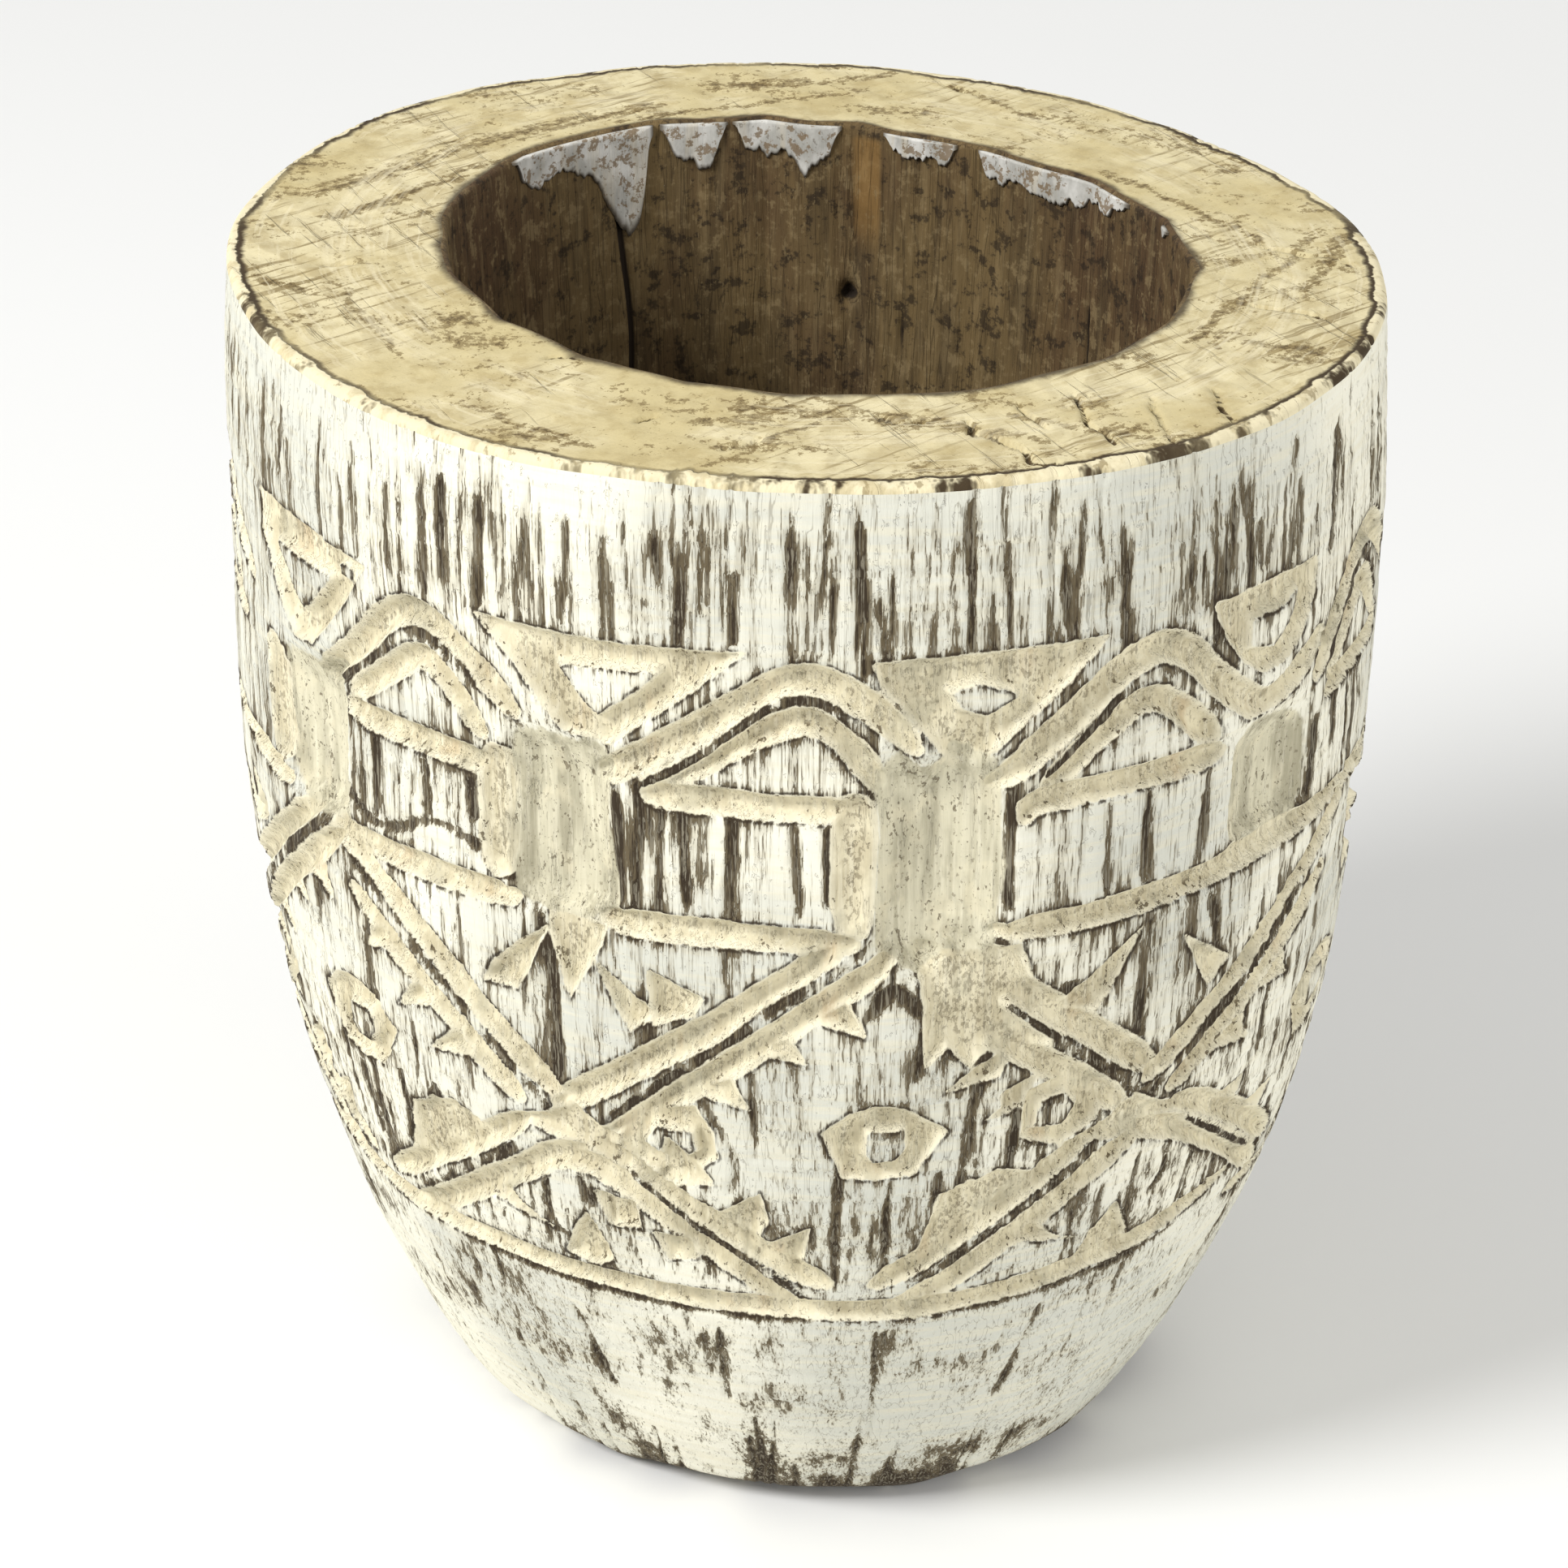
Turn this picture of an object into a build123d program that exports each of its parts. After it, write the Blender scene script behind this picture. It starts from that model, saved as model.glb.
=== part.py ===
import os
from math import cos, radians, sin

from build123d import *

# Carved bowl hollowed out of one length of log. Millimetres, +Z up.
# Origin: middle of the base, on the surface that the bowl stands on. The front faces -Y.
# A turn is an angle round the bowl in degrees from the front, growing towards +X.

# Outside of the log
height = 400.0
base_radius = 108.0
belly_radius = 174.0
rim_radius = 170.0
lean = 3.6  # the rim stands this far to +X of the base
lean_level = 320.0  # height at which the middle of the log is over the origin
oval = 0.058  # the long and short axes of the log differ from the mean by this share
oval_turn = -24.0  # long axis of the log, degrees from +X
rim_round = 4.0
# (share of the height, share of the way from the base radius to the belly radius)
swell = (
    (0.00, 0.00), (0.06, 0.23), (0.14, 0.42), (0.26, 0.67), (0.40, 0.86),
    (0.55, 0.97), (0.70, 1.00), (0.85, 1.00),
)

# Hollow
mouth_radius = 109.5
floor_radius = 84.0
hollow_depth = 290.0
floor_round = 30.0
mouth_oval = 0.081
mouth_turn = -33.0  # long axis of the mouth, degrees from +X
mouth_x = 2.7
mouth_y = 2.4
rim_overrun = 2.0  # the hollow's cutter passes the rim by this much

# Gouge cuts
groove_width = 10.0
groove_depth = 2.6
band_width = 22.0
band_depth = 3.2

# Bands of carving, from the rim downwards
plain_band = 56.0
frieze_height = 92.0
lattice_height = 144.0
border_high = height - plain_band - frieze_height
border_low = border_high - lattice_height

# Frieze: upright flutes with an arch and a sill between each pair
flute_count = 9
first_flute = -25.5
flute_width = 36.0
flute_depth = 7.0
flute_length = 72.0
flute_foot = 6.0  # the flute starts this far above the border
arch_crown = 88.0  # heights above the border
arch_foot = 52.0
sill_rise = 45.0

# Lattice: diamonds cut with a broad gouge, between the two borders
diamond_count = 6
first_diamond = 6.0
lattice_margin = 14.0  # from a border to the nearest point of the diamonds
band_clearance = 5.0  # degrees from a diamond's middle line to the end of each stroke beside it
border_share = 0.9  # of a diamond's width that its border stroke covers

# Crust of limewash left inside the lip
crust_thickness = 1.2
crust_top = 0.5  # below the rim
# (degrees from +X, depth below the rim) along the broken lower edge of each flake
crust_edges = {
    "limewash_crust_left": (
        (143.0, 4.0), (138.0, 15.0), (131.0, 9.0), (125.0, 20.0), (120.5, 41.0), (118.0, 24.0),
        (116.0, 10.0),
    ),
    "limewash_crust_back_left": ((115.0, 6.0), (111.5, 13.0), (107.0, 17.0), (103.8, 7.0)),
    "limewash_crust_back": (
        (103.0, 7.0), (98.0, 12.0), (93.0, 11.0), (90.8, 23.0), (88.5, 12.0), (84.0, 8.0),
    ),
    "limewash_crust_back_right": ((76.0, 4.0), (71.0, 9.0), (65.0, 6.0), (61.0, 8.0)),
    "limewash_crust_right": (
        (56.5, 5.0), (54.0, 11.0), (47.0, 9.0), (38.0, 11.0), (29.0, 8.0), (20.0, 6.0),
    ),
    "limewash_chip_right": ((10.5, 2.5), (8.8, 6.0), (7.2, 2.5)),
}


def log_middle(level):
    """Where the middle of the log stands along X at a height."""
    return lean * (level - lean_level) / height


def log_section(level, radius):
    with BuildSketch(Plane.XY.offset(level), mode=Mode.PRIVATE) as section:
        with Locations((log_middle(level), 0)):
            Ellipse(radius * (1 + oval), radius * (1 - oval), rotation=oval_turn)
    return section.sketch


def hollow_section(level, radius, inset):
    with BuildSketch(Plane.XY.offset(level), mode=Mode.PRIVATE) as section:
        with Locations((mouth_x, mouth_y)):
            long_axis = radius * (1 + mouth_oval) - inset
            short_axis = radius * (1 - mouth_oval) - inset
            Ellipse(long_axis, short_axis, rotation=mouth_turn)
    return section.sketch


def hollow_form(inset):
    """The space inside the bowl, drawn in from its walls by an inset."""
    top = height + rim_overrun
    floor = height - hollow_depth
    taper = (mouth_radius - floor_radius) / hollow_depth
    with BuildPart(mode=Mode.PRIVATE) as form:
        for level in (top, (top + floor) / 2, floor):
            # the wall bows out a little half way down
            bow = taper * hollow_depth / 6 if floor < level < top else 0
            add(hollow_section(level, floor_radius + taper * (level - floor) + bow, inset))
        loft()
    return form.part


def on_wall(turn, level):
    """Point on the outside of the log."""
    outward = Vector(sin(radians(turn)), -cos(radians(turn)), 0)
    ray = Axis(Vector(log_middle(level), 0, level), outward)
    hits = [point for point, _ in log.part.find_intersection_points(ray)]
    return max(hits, key=lambda point: (point - ray.position).dot(outward))


def gouge(start, end, width, depth):
    """The round-bottomed cut of one stroke along the wall between two (turn, height) points."""
    radius = (width**2 / 4 + depth**2) / (2 * depth)
    middle = ((start[0] + end[0]) / 2, (start[1] + end[1]) / 2)
    lifted = []
    for turn, level in (start, middle, end):
        outward = Vector(sin(radians(turn)), -cos(radians(turn)), 0)
        lifted.append(on_wall(turn, level) + outward * (radius - depth))
    with BuildPart(mode=Mode.PRIVATE) as stroke:
        with BuildLine():
            path = ThreePointArc(*lifted)
        with BuildSketch(Plane(origin=path @ 0, z_dir=path % 0)):
            Circle(radius)
        sweep()
    return stroke.part


# The log before it is hollowed and carved
with BuildPart() as log:
    for height_share, swell_share in swell:
        radius = base_radius + (belly_radius - base_radius) * swell_share
        add(log_section(height * height_share, radius))
    add(log_section(height, rim_radius))
    loft()

# Strokes of the frieze, each list going once round the bowl
flutes, arch_rises, arch_falls, sills, high_border = [], [], [], [], []
flute_pitch = 360 / flute_count
for i in range(flute_count):
    turn = first_flute + i * flute_pitch
    foot = (turn, border_high + flute_foot)
    flutes.append(gouge(foot, (turn, foot[1] + flute_length), flute_width, flute_depth))
    crown = (turn + flute_pitch * 0.53, border_high + arch_crown)
    left_foot = (turn + flute_pitch * 0.13, border_high + arch_foot)
    right_foot = (turn + flute_pitch * 0.88, border_high + arch_foot)
    arch_rises.append(gouge(left_foot, crown, groove_width, groove_depth))
    arch_falls.append(gouge(crown, right_foot, groove_width, groove_depth))
    sill_left = (turn + flute_pitch * 0.24, border_high + sill_rise)
    sill_right = (turn + flute_pitch * 0.80, border_high + sill_rise)
    sills.append(gouge(sill_left, sill_right, groove_width, groove_depth))
    border_left = (turn + flute_pitch * 0.15, border_high)
    border_right = (turn + flute_pitch * 0.85, border_high)
    high_border.append(gouge(border_left, border_right, groove_width, groove_depth))

# Strokes of the lattice: each falls from the top of one diamond to the foot of the next
falls_right, falls_left, low_border = [], [], []
diamond_pitch = 360 / diamond_count
for i in range(diamond_count):
    turn = first_diamond + diamond_pitch * i
    top = border_high - lattice_margin
    bottom = border_low + lattice_margin
    for side, falls in ((1, falls_right), (-1, falls_left)):
        start = (turn + side * band_clearance, top)
        end = (turn + side * (diamond_pitch - band_clearance), bottom)
        falls.append(gouge(start, end, band_width, band_depth))
    border_left = (turn - diamond_pitch * border_share / 2, border_low)
    border_right = (turn + diamond_pitch * border_share / 2, border_low)
    low_border.append(gouge(border_left, border_right, groove_width, groove_depth))

with BuildPart() as carved_bowl:
    add(log.part)
    add(hollow_form(0), mode=Mode.SUBTRACT)
    hollow_floor = carved_bowl.faces().filter_by(Axis.Z).sort_by(Axis.Z)[1]
    fillet(hollow_floor.edges(), floor_round)
    rim = carved_bowl.faces().filter_by(Axis.Z).sort_by(Axis.Z)[-1]
    fillet(rim.outer_wire().edges(), rim_round)
    frieze = (flutes, arch_rises, arch_falls, sills, high_border)
    for strokes in (*frieze, falls_right, falls_left, low_border):
        add(strokes, mode=Mode.SUBTRACT, clean=False)
carved_bowl.part.label = "carved_bowl"

# The layer that the crust fills, against the wall of the hollow
with BuildPart() as crust_layer:
    add(hollow_form(0))
    add(hollow_form(crust_thickness), mode=Mode.SUBTRACT)

os.makedirs("parts", exist_ok=True)
export_step(carved_bowl.part, "parts/carved_bowl.step")

for name, edge in crust_edges.items():
    middle = (edge[0][0] + edge[-1][0]) / 2
    outward = Vector(cos(radians(middle)), sin(radians(middle)), 0)
    facing = Plane(origin=(mouth_x, mouth_y, height), x_dir=(0, 0, -1), z_dir=outward)
    # each point of the edge: depth below the rim, then distance to the side of the middle
    broken_edge = [(depth, -mouth_radius * sin(radians(turn - middle))) for turn, depth in edge]
    ends = [(crust_top, broken_edge[-1][1]), (crust_top, broken_edge[0][1])]
    with BuildPart() as flake:
        add(crust_layer.part)
        with BuildSketch(facing) as outline:
            Polygon(*broken_edge, *ends, align=None)
        extrude(amount=mouth_radius * 2, mode=Mode.INTERSECT)
    flake.part.label = name
    export_step(flake.part, f"parts/{name}.step")
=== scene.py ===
import math

import bpy
import numpy as np
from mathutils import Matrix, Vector


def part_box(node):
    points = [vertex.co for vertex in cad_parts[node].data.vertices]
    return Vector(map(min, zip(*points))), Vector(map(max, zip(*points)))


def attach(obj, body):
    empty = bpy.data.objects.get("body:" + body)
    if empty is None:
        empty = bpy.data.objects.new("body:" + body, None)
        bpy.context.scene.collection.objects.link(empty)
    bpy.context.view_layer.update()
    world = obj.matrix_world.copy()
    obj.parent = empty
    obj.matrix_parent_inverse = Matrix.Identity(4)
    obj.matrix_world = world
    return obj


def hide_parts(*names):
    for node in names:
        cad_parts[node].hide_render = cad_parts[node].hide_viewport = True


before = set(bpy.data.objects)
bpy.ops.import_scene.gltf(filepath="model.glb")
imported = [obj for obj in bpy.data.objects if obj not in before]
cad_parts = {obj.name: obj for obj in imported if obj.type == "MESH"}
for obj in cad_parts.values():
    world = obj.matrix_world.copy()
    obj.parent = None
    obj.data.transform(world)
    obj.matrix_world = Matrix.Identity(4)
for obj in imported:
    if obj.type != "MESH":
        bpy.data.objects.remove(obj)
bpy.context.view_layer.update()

# All sizes in the dictionaries are millimetres and degrees. A turn is an angle round the bowl
# from its front, growing towards +X, and a level is a height above the base.
mm = 0.001
bowlLow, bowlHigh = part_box("carved_bowl")
bowlHeight = (bowlHigh.z - bowlLow.z) / mm

logShape = {
    "baseRadius": 108.0, "bellyRadius": 174.0, "rimRadius": 170.0,
    "bellyShare": 0.7, "swellPower": 2.4, "shoulderShare": 0.8,
    "lean": 3.6, "leanLevel": 320.0,
    "oval": 0.058, "ovalTurn": 66.0,  # the long axis of the log, as a turn
    "baseBevel": 8.0, "bevelHeight": 12.0, "rimRound": 2.6,
    "wobble": 1.3,
    # places where the top of the log is out of round: turn, swelling, spread
    "rimBulges": ((-40.0, 6.0, 26.0), (130.0, -4.5, 26.0), (226.0, 3.5, 14.0)),
    "bulgeLevels": (290, 390),
}
hollowShape = {
    "mouthRadius": 109.5, "floorRadius": 84.0, "depth": 290.0, "floorRound": 30.0,
    "oval": 0.081, "longTurn": 57.0, "middle": (2.7, 2.4), "bow": 4.25,
    "lipRound": 1.6, "facets": 17, "facetDepth": 2.4,
}
# the levels that the clouds cover: how tall in all, and how far below the base
cloudRange = {"height": 520.0, "below": 40.0}
meshGrid = {
    "columns": 940, "wallStep": 1.25, "rimStep": 2.0, "hollowStep": 3.0,
    "undersideRings": 16, "floorRings": 14, "cornerRings": 9,
}


def ease(value, low, high):
    share = np.clip((value - low) / (high - low), 0, 1)
    return share * share * (3 - 2 * share)


# degrees from one turn to another, the short way round
def turnsApart(turn, other):
    return (turn - other + 180) % 360 - 180


# how far points lie from a straight stroke, and which share of it is nearest to them
def strokeAway(x, y, start, end):
    (ax, ay), (bx, by) = start, end
    size = max((bx - ax) ** 2 + (by - ay) ** 2, 1e-6)
    share = np.clip(((x - ax) * (bx - ax) + (y - ay) * (by - ay)) / size, 0, 1)
    return np.hypot(x - ax - share * (bx - ax), y - ay - share * (by - ay)), share


# Soft random clouds from -1 to 1 over the unrolled wall, joined up all the way round
def cloud(turn, level, cellTurn, cellLevel, seed):
    around = max(3, round(360 / cellTurn))
    dice = np.random.default_rng(seed)
    grid = dice.uniform(-1, 1, (int(cloudRange["height"] / cellLevel) + 4, around))
    across = np.mod(turn, 360) / 360 * around
    up = np.clip((level + cloudRange["below"]) / cellLevel, 0, grid.shape[0] - 2.001)
    column, row = np.floor(across).astype(int), np.floor(up).astype(int)
    sideShare, upShare = ease(across - column, 0, 1), ease(up - row, 0, 1)
    nextColumn = (column + 1) % around
    column = column % around
    low = grid[row, column] * (1 - sideShare) + grid[row, nextColumn] * sideShare
    high = grid[row + 1, column] * (1 - sideShare) + grid[row + 1, nextColumn] * sideShare
    return low * (1 - upShare) + high * upShare


def logMiddle(level):
    return logShape["lean"] * (level - logShape["leanLevel"]) / bowlHeight


def outerRadius(turn, level):
    s = logShape
    share = level / bowlHeight
    thin = np.clip(1 - share / s["bellyShare"], 0, 1) ** s["swellPower"]
    radius = s["bellyRadius"] - (s["bellyRadius"] - s["baseRadius"]) * thin
    shoulder = np.clip((share - s["shoulderShare"]) / (1 - s["shoulderShare"]), 0, 1)
    radius = radius - (s["bellyRadius"] - s["rimRadius"]) * shoulder**2
    radius = radius * (1 + s["oval"] * np.cos(2 * np.radians(turn - s["ovalTurn"])))
    for at, swelling, spread in s["rimBulges"]:
        bulge = np.exp(-((turnsApart(turn, at) / spread) ** 2))
        radius = radius + swelling * bulge * ease(level, *s["bulgeLevels"])
    radius = radius + s["wobble"] * cloud(turn, level, 24, 90, 11)
    radius = radius + 0.35 * s["wobble"] * cloud(turn, level, 7, 34, 12)
    bevel = np.clip(1 - level / s["bevelHeight"], 0, 1)
    return radius - s["baseBevel"] * bevel**2 * (1 + 0.5 * cloud(turn, level * 0, 11, 50, 13))


def hollowRadius(turn, level):
    h = hollowShape
    down = np.clip((bowlHeight - level) / h["depth"], 0, 1)
    radius = h["mouthRadius"] - (h["mouthRadius"] - h["floorRadius"]) * down
    radius = radius + h["bow"] * 4 * down * (1 - down)
    radius = radius * (1 + h["oval"] * np.cos(2 * np.radians(turn - h["longTurn"])))
    # long flat facets left by the chisel, uneven in width, and a mouth a little out of shape
    phase = turn / 360 * h["facets"] + 0.35 * cloud(turn, level * 0, 40, 50, 21)
    flat = 1 - np.abs(np.sin(np.pi * phase))
    radius = radius + h["facetDepth"] * (flat - 0.4) * (0.6 + 0.4 * cloud(turn, level, 30, 120, 22))
    return radius + 0.8 * cloud(turn, level, 9, 60, 23) + 1.6 * np.cos(3 * np.radians(turn - 90))


print("shapes of the log and the hollow set")

# The carving. A band is a gouged stroke (points and a half width), a chip is a cut-out polygon, and
# a land or a ridge is wood left standing inside a cut. Points are (turn, level), as they lie round
# the part of the bowl where each motif was first drawn; elsewhere they are shifted and stretched.
mmPerDegree = 3.0
gouge = {
    "bandDepth": 4.2, "chipDepth": 3.8, "chipSlope": 4.5, "postDepth": 3.0, "edgeWobble": 0.5,
    "reach": 26.0,  # how far from a cut the wall knows its distance to it
    "arch": 5.2, "innerArch": 4.6, "sill": 4.6, "border": 4.7, "post": 7.0,
    "lattice": 5.2, "innerLattice": 4.8, "strip": 1.35,
}

# Frieze units: "middle" is the flute at the left of the unit, "span" the way to the next flute
friezeUnits = {
    "steepArch": {
        "middle": -60.5, "span": 35.0,
        "bands": {
            "arch": ((-60, 297), (-55, 308), (-50, 322), (-46, 336), (-42, 341), (-38, 335), (-33, 324),
                     (-30.5, 316)),
            "innerArch": ((-53, 301), (-46, 317), (-42, 327), (-38, 318), (-34.5, 305)),
            "sill": ((-54, 295.5), (-44, 295.5), (-34, 296)),
            "post": ((-33, 262), (-33, 300)),
            "border": ((-58, 249), (-50, 251), (-42, 252), (-31, 252.5)),
        },
        "strips": (((-56, 301), (-52, 310), (-48, 320.5), (-45, 330), (-41.5, 333.5), (-38, 329),
                    (-35, 322)),),
        "wedge": ((-70.5, 349), (-62, 350), (-49, 347.5), (-52, 335), (-56, 321), (-60, 309),
                  (-63.5, 307), (-66.5, 318), (-70, 335)),
        "lands": (((-66, 337), (-55.5, 336.5), (-58, 328), (-61, 319.5), (-64, 330)),
                  ((-53.2, 343.5), (-52, 345), (-50.8, 343.5), (-51, 340.5), (-52.8, 340.5)),
                  ((-48.5, 302.5), (-44.5, 309), (-40.5, 318), (-38, 311), (-36, 302.5))),
    },
    "broadArch": {
        "middle": -25.5, "span": 39.5,
        "bands": {
            "arch": ((-21.5, 300), (-14.5, 313.5), (-8, 326), (-3, 337), (1, 341), (5, 336), (9, 327),
                     (11.5, 317)),
            "innerArch": ((-16, 300.5), (-9, 312), (-4, 322), (0, 327.5), (3.5, 324), (6.5, 314),
                          (8, 305)),
            "sill": ((-16, 298), (-6, 298), (5, 297.5)),
            "post": ((5.6, 258), (5.6, 300)),
            "border": ((-21, 252.5), (-12, 254), (-3, 254.5), (6, 253)),
        },
        "strips": (((-17, 299.5), (-13, 306), (-9, 315), (-5.5, 324.5), (-2, 332), (1, 334), (4, 329),
                    (6.5, 321)),),
        "wedge": ((-35, 347), (-20, 346.5), (-5.5, 347.5), (-13, 328), (-20, 311), (-25, 313),
                  (-29.5, 330), (-32.5, 340)),
        "lands": (((-25.2, 336), (-14.5, 338), (-17, 330.5), (-21, 321), (-23, 326.5)),
                  ((-7.2, 304), (-3.5, 311), (1.5, 320), (4.5, 312), (6.3, 306), (4, 302.5), (-4, 302))),
    },
    "waveArch": {
        "middle": 14.0, "span": 36.5,
        "bands": {
            "arch": ((19, 303), (22, 312), (26, 323), (31, 336), (35, 341), (38, 337), (41, 326),
                     (46, 312), (48.5, 307), (51, 309), (54, 314), (57, 321)),
            "innerArch": ((24, 302), (29, 317), (34, 326), (38, 318), (42, 304)),
            "sill": ((22, 292), (22.8, 298), (30, 299), (43, 298.5)),
            "border": ((19.5, 254.5), (30, 255.5), (45, 257), (66, 257)),
        },
        "strips": (((24, 305), (27, 314), (30, 324), (33, 331.5), (36, 333), (38.5, 327), (42, 312)),),
        "wedge": ((7, 346), (18, 348), (29.8, 348), (25.5, 334), (20.5, 321), (18, 311), (14.5, 314),
                  (11, 327), (8, 338)),
        "lands": (((14.5, 336), (17.5, 338), (21, 333), (18, 327.5), (15.5, 330.5)),
                  ((30.5, 305.5), (31, 311), (34.5, 319), (38, 310), (38.3, 305.5))),
    },
    "cupArch": {
        "middle": 50.5, "span": 41.5,
        "bands": {
            "arch": ((57, 306), (60, 321), (64, 336), (67.5, 341), (71, 337), (75, 326), (79, 315)),
            "innerArch": ((60, 302), (63.5, 316), (67, 326), (70, 318), (74, 304)),
            "sill": ((59.5, 298), (67, 299), (76, 298)),
            "post": ((84.5, 262), (84.5, 299)),
            "border": ((66, 257), (75, 255), (86, 253)),
        },
        "strips": (((59, 305), (61.5, 314), (64, 325), (66.5, 333), (68.5, 331), (72, 320)),),
        "wedge": ((41, 348), (48, 349), (56, 348), (55.5, 336), (53.5, 324), (51, 318.5), (48, 318),
                  (45, 325), (42.5, 336)),
        "lands": (((45.8, 329), (46, 338), (50.5, 338), (52.5, 341), (51.5, 331), (49, 326)),
                  ((64, 306), (64.5, 312), (66.8, 319), (69.5, 311), (70, 306))),
    },
}
# (middle, half width, foot, head, unit to its right)
flutes = (
    (-60.5, 6.2, 250, 308, "steepArch"), (-25.5, 6.4, 250, 316, "broadArch"),
    (13.5, 6.8, 244, 318, "waveArch"), (50.5, 6.0, 260, 306, "cupArch"),
    (92.0, 6.2, 252, 312, "broadArch"), (133.0, 6.4, 248, 314, "steepArch"),
    (174.0, 6.2, 252, 310, "waveArch"), (215.5, 6.4, 250, 315, "broadArch"),
    (257.0, 6.0, 252, 312, "cupArch"),
)
fluteDepth = 8.0
# under the second flute
pointedTail = ((-27.5, 251), (-27.3, 243), (-25, 221), (-20.8, 244), (-20, 251))

# The lattice under the frieze is a row of diamonds. Each has four quarters, and each quarter has its
# strokes: outer and inner groove, the strip between them and the thorns along it.
diamondQuarters = {
    "upperLeft": {
        "outer": ((-27.5, 180), (-21, 194), (-15, 207.5), (-8, 223), (-1, 239.5), (4, 252)),
        "inner": ((-21.5, 174), (-13, 194), (-7, 208), (-1, 223), (5, 238), (9, 248)),
        "strip": ((-24, 172), (-20, 182), (-15, 196), (-8, 214), (-3, 229), (2, 240), (7, 253)),
        "thorns": (((-18, 182), (-13.5, 189), (-9.5, 176), (-14, 180)),
                   ((-12.5, 197), (-7, 203), (-5, 191), (-9, 194)),
                   ((-6, 211), (-1, 221), (1, 209), (-2.5, 212)),
                   ((0.5, 225), (5, 234), (7, 220), (3, 224)),
                   ((-15.5, 218), (-16, 238), (-9.5, 231), (-11, 224)),
                   ((-21, 167), (-19, 186), (-11, 191), (-9, 181), (-8.5, 171), (-13, 160))),
        "lands": (((-16.8, 174), (-15.5, 180.5), (-11.5, 180), (-11, 173), (-13.5, 168)),),
    },
    "upperRight": {
        "outer": ((15, 252), (20, 240), (25, 226), (30, 213.5), (34, 203), (38, 192)),
        "inner": ((14, 236), (18, 222), (24, 208), (29, 196.5), (33, 186), (35, 180)),
        "strip": ((21, 228), (25, 217), (28, 209), (31, 202), (35, 190), (37.5, 180)),
        "thorns": (((18.5, 207), (21.5, 213), (20.5, 202), (15, 198), (17, 204)),
                   ((21, 196), (24.5, 201), (24, 189), (19, 185), (21, 190)),
                   ((11.5, 250), (22, 250), (24, 232), (28, 214), (22.5, 207), (19.5, 215),
                    (17.5, 206), (15, 216), (12.8, 207), (12.4, 228)),
                   ((23.5, 177), (23.5, 195), (28.5, 199), (33, 188), (32, 178), (28, 171))),
        "lands": (((25, 180), (25.5, 189), (28, 191), (29.5, 186), (28, 179)),),
    },
    "lowerLeft": {
        "outer": ((-31, 156), (-25.5, 161), (-20, 156.5), (-14, 143), (-8, 129.5), (-2, 116), (1, 108)),
        "inner": ((-24, 169), (-19, 163), (-15, 155), (-8, 142), (-2, 130), (4, 120)),
        "strip": ((-19, 160), (-15, 150), (-10, 138), (-4, 125), (1, 114)),
        "thorns": (((-16.5, 157), (-9, 160), (-10.5, 168), (-14.5, 178), (-15.5, 166)),
                   ((-10, 146), (-4, 159), (-3, 147), (-5, 136)),
                   ((-4.5, 135), (1.5, 145), (1, 132), (-0.5, 127)),
                   ((-24, 150), (-22, 136), (-18, 137), (-18.5, 148)),
                   ((-17, 137), (-15, 125), (-11.5, 128), (-12, 136))),
    },
    "lowerRight": {
        "outer": ((11, 108), (15, 114.5), (20, 126), (25, 138), (30, 150), (34, 160), (37.5, 165)),
        "inner": ((9, 120), (13, 128), (18, 140), (23, 151), (27, 161), (31, 171)),
        "strip": ((14.5, 121), (19, 131.5), (22, 139), (25, 147), (29, 157), (33, 169)),
        "thorns": (((10, 122), (13.5, 134), (15.5, 158), (21.5, 166), (27, 161), (21, 144), (15, 130)),
                   ((18, 146), (22, 156), (18.5, 164), (16.5, 154)),
                   ((24, 133), (33, 126.5), (29, 133), (27, 141))),
    },
    # drawn a little steeper on the two diamonds that flank the middle one
    "upperRightSteep": {
        "outer": ((-57, 252), (-53, 244), (-47.5, 234.5), (-40.5, 218), (-33, 199), (-27, 184)),
        "inner": ((-55, 231), (-50, 219.5), (-44, 207), (-38, 193.5), (-32, 178)),
        "strip": ((-54.5, 241), (-50, 232), (-46, 221.5), (-42, 213), (-36, 199.5), (-31.5, 186),
                  (-29, 178)),
        "thorns": (((-52, 223), (-53.5, 211), (-49, 215)), ((-46, 208), (-49, 195), (-43, 201)),
                   ((-40.5, 197), (-44.5, 184), (-38, 188))),
    },
    "upperLeftSteep": {
        "outer": ((37.5, 188), (41, 196.5), (45, 206), (52, 222), (60, 240.5), (66, 253)),
        "inner": ((41, 180), (46, 192), (50.5, 203), (57, 217), (63, 231)),
        "strip": ((38.5, 181), (42, 192), (47, 204), (51, 212.5), (55, 223), (59, 233)),
        "thorns": (((46, 188), (52, 184), (50.5, 197)), ((52, 201), (58, 199), (56.5, 210))),
    },
    "lowerLeftSteep": {
        "outer": ((36, 169), (40, 166), (45, 158.5), (51, 145.5), (57, 131), (63, 116)),
        "inner": ((42, 174), (47, 166), (53, 153), (59, 139), (64, 126)),
        "strip": ((45, 162), (48, 154.5), (51, 148), (55, 138), (60, 127)),
        "thorns": (((47, 165), (53, 168), (52, 158)), ((53.5, 151), (60, 156), (58.5, 145))),
    },
}
quarterSpan = {"upperLeft": (-25.5, 8), "lowerLeft": (-25.5, 8), "upperRight": (8, 36.5),
               "lowerRight": (8, 36.5), "upperRightSteep": (-57.5, -25.5),
               "upperLeftSteep": (36.5, 66), "lowerLeftSteep": (36.5, 66)}
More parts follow.
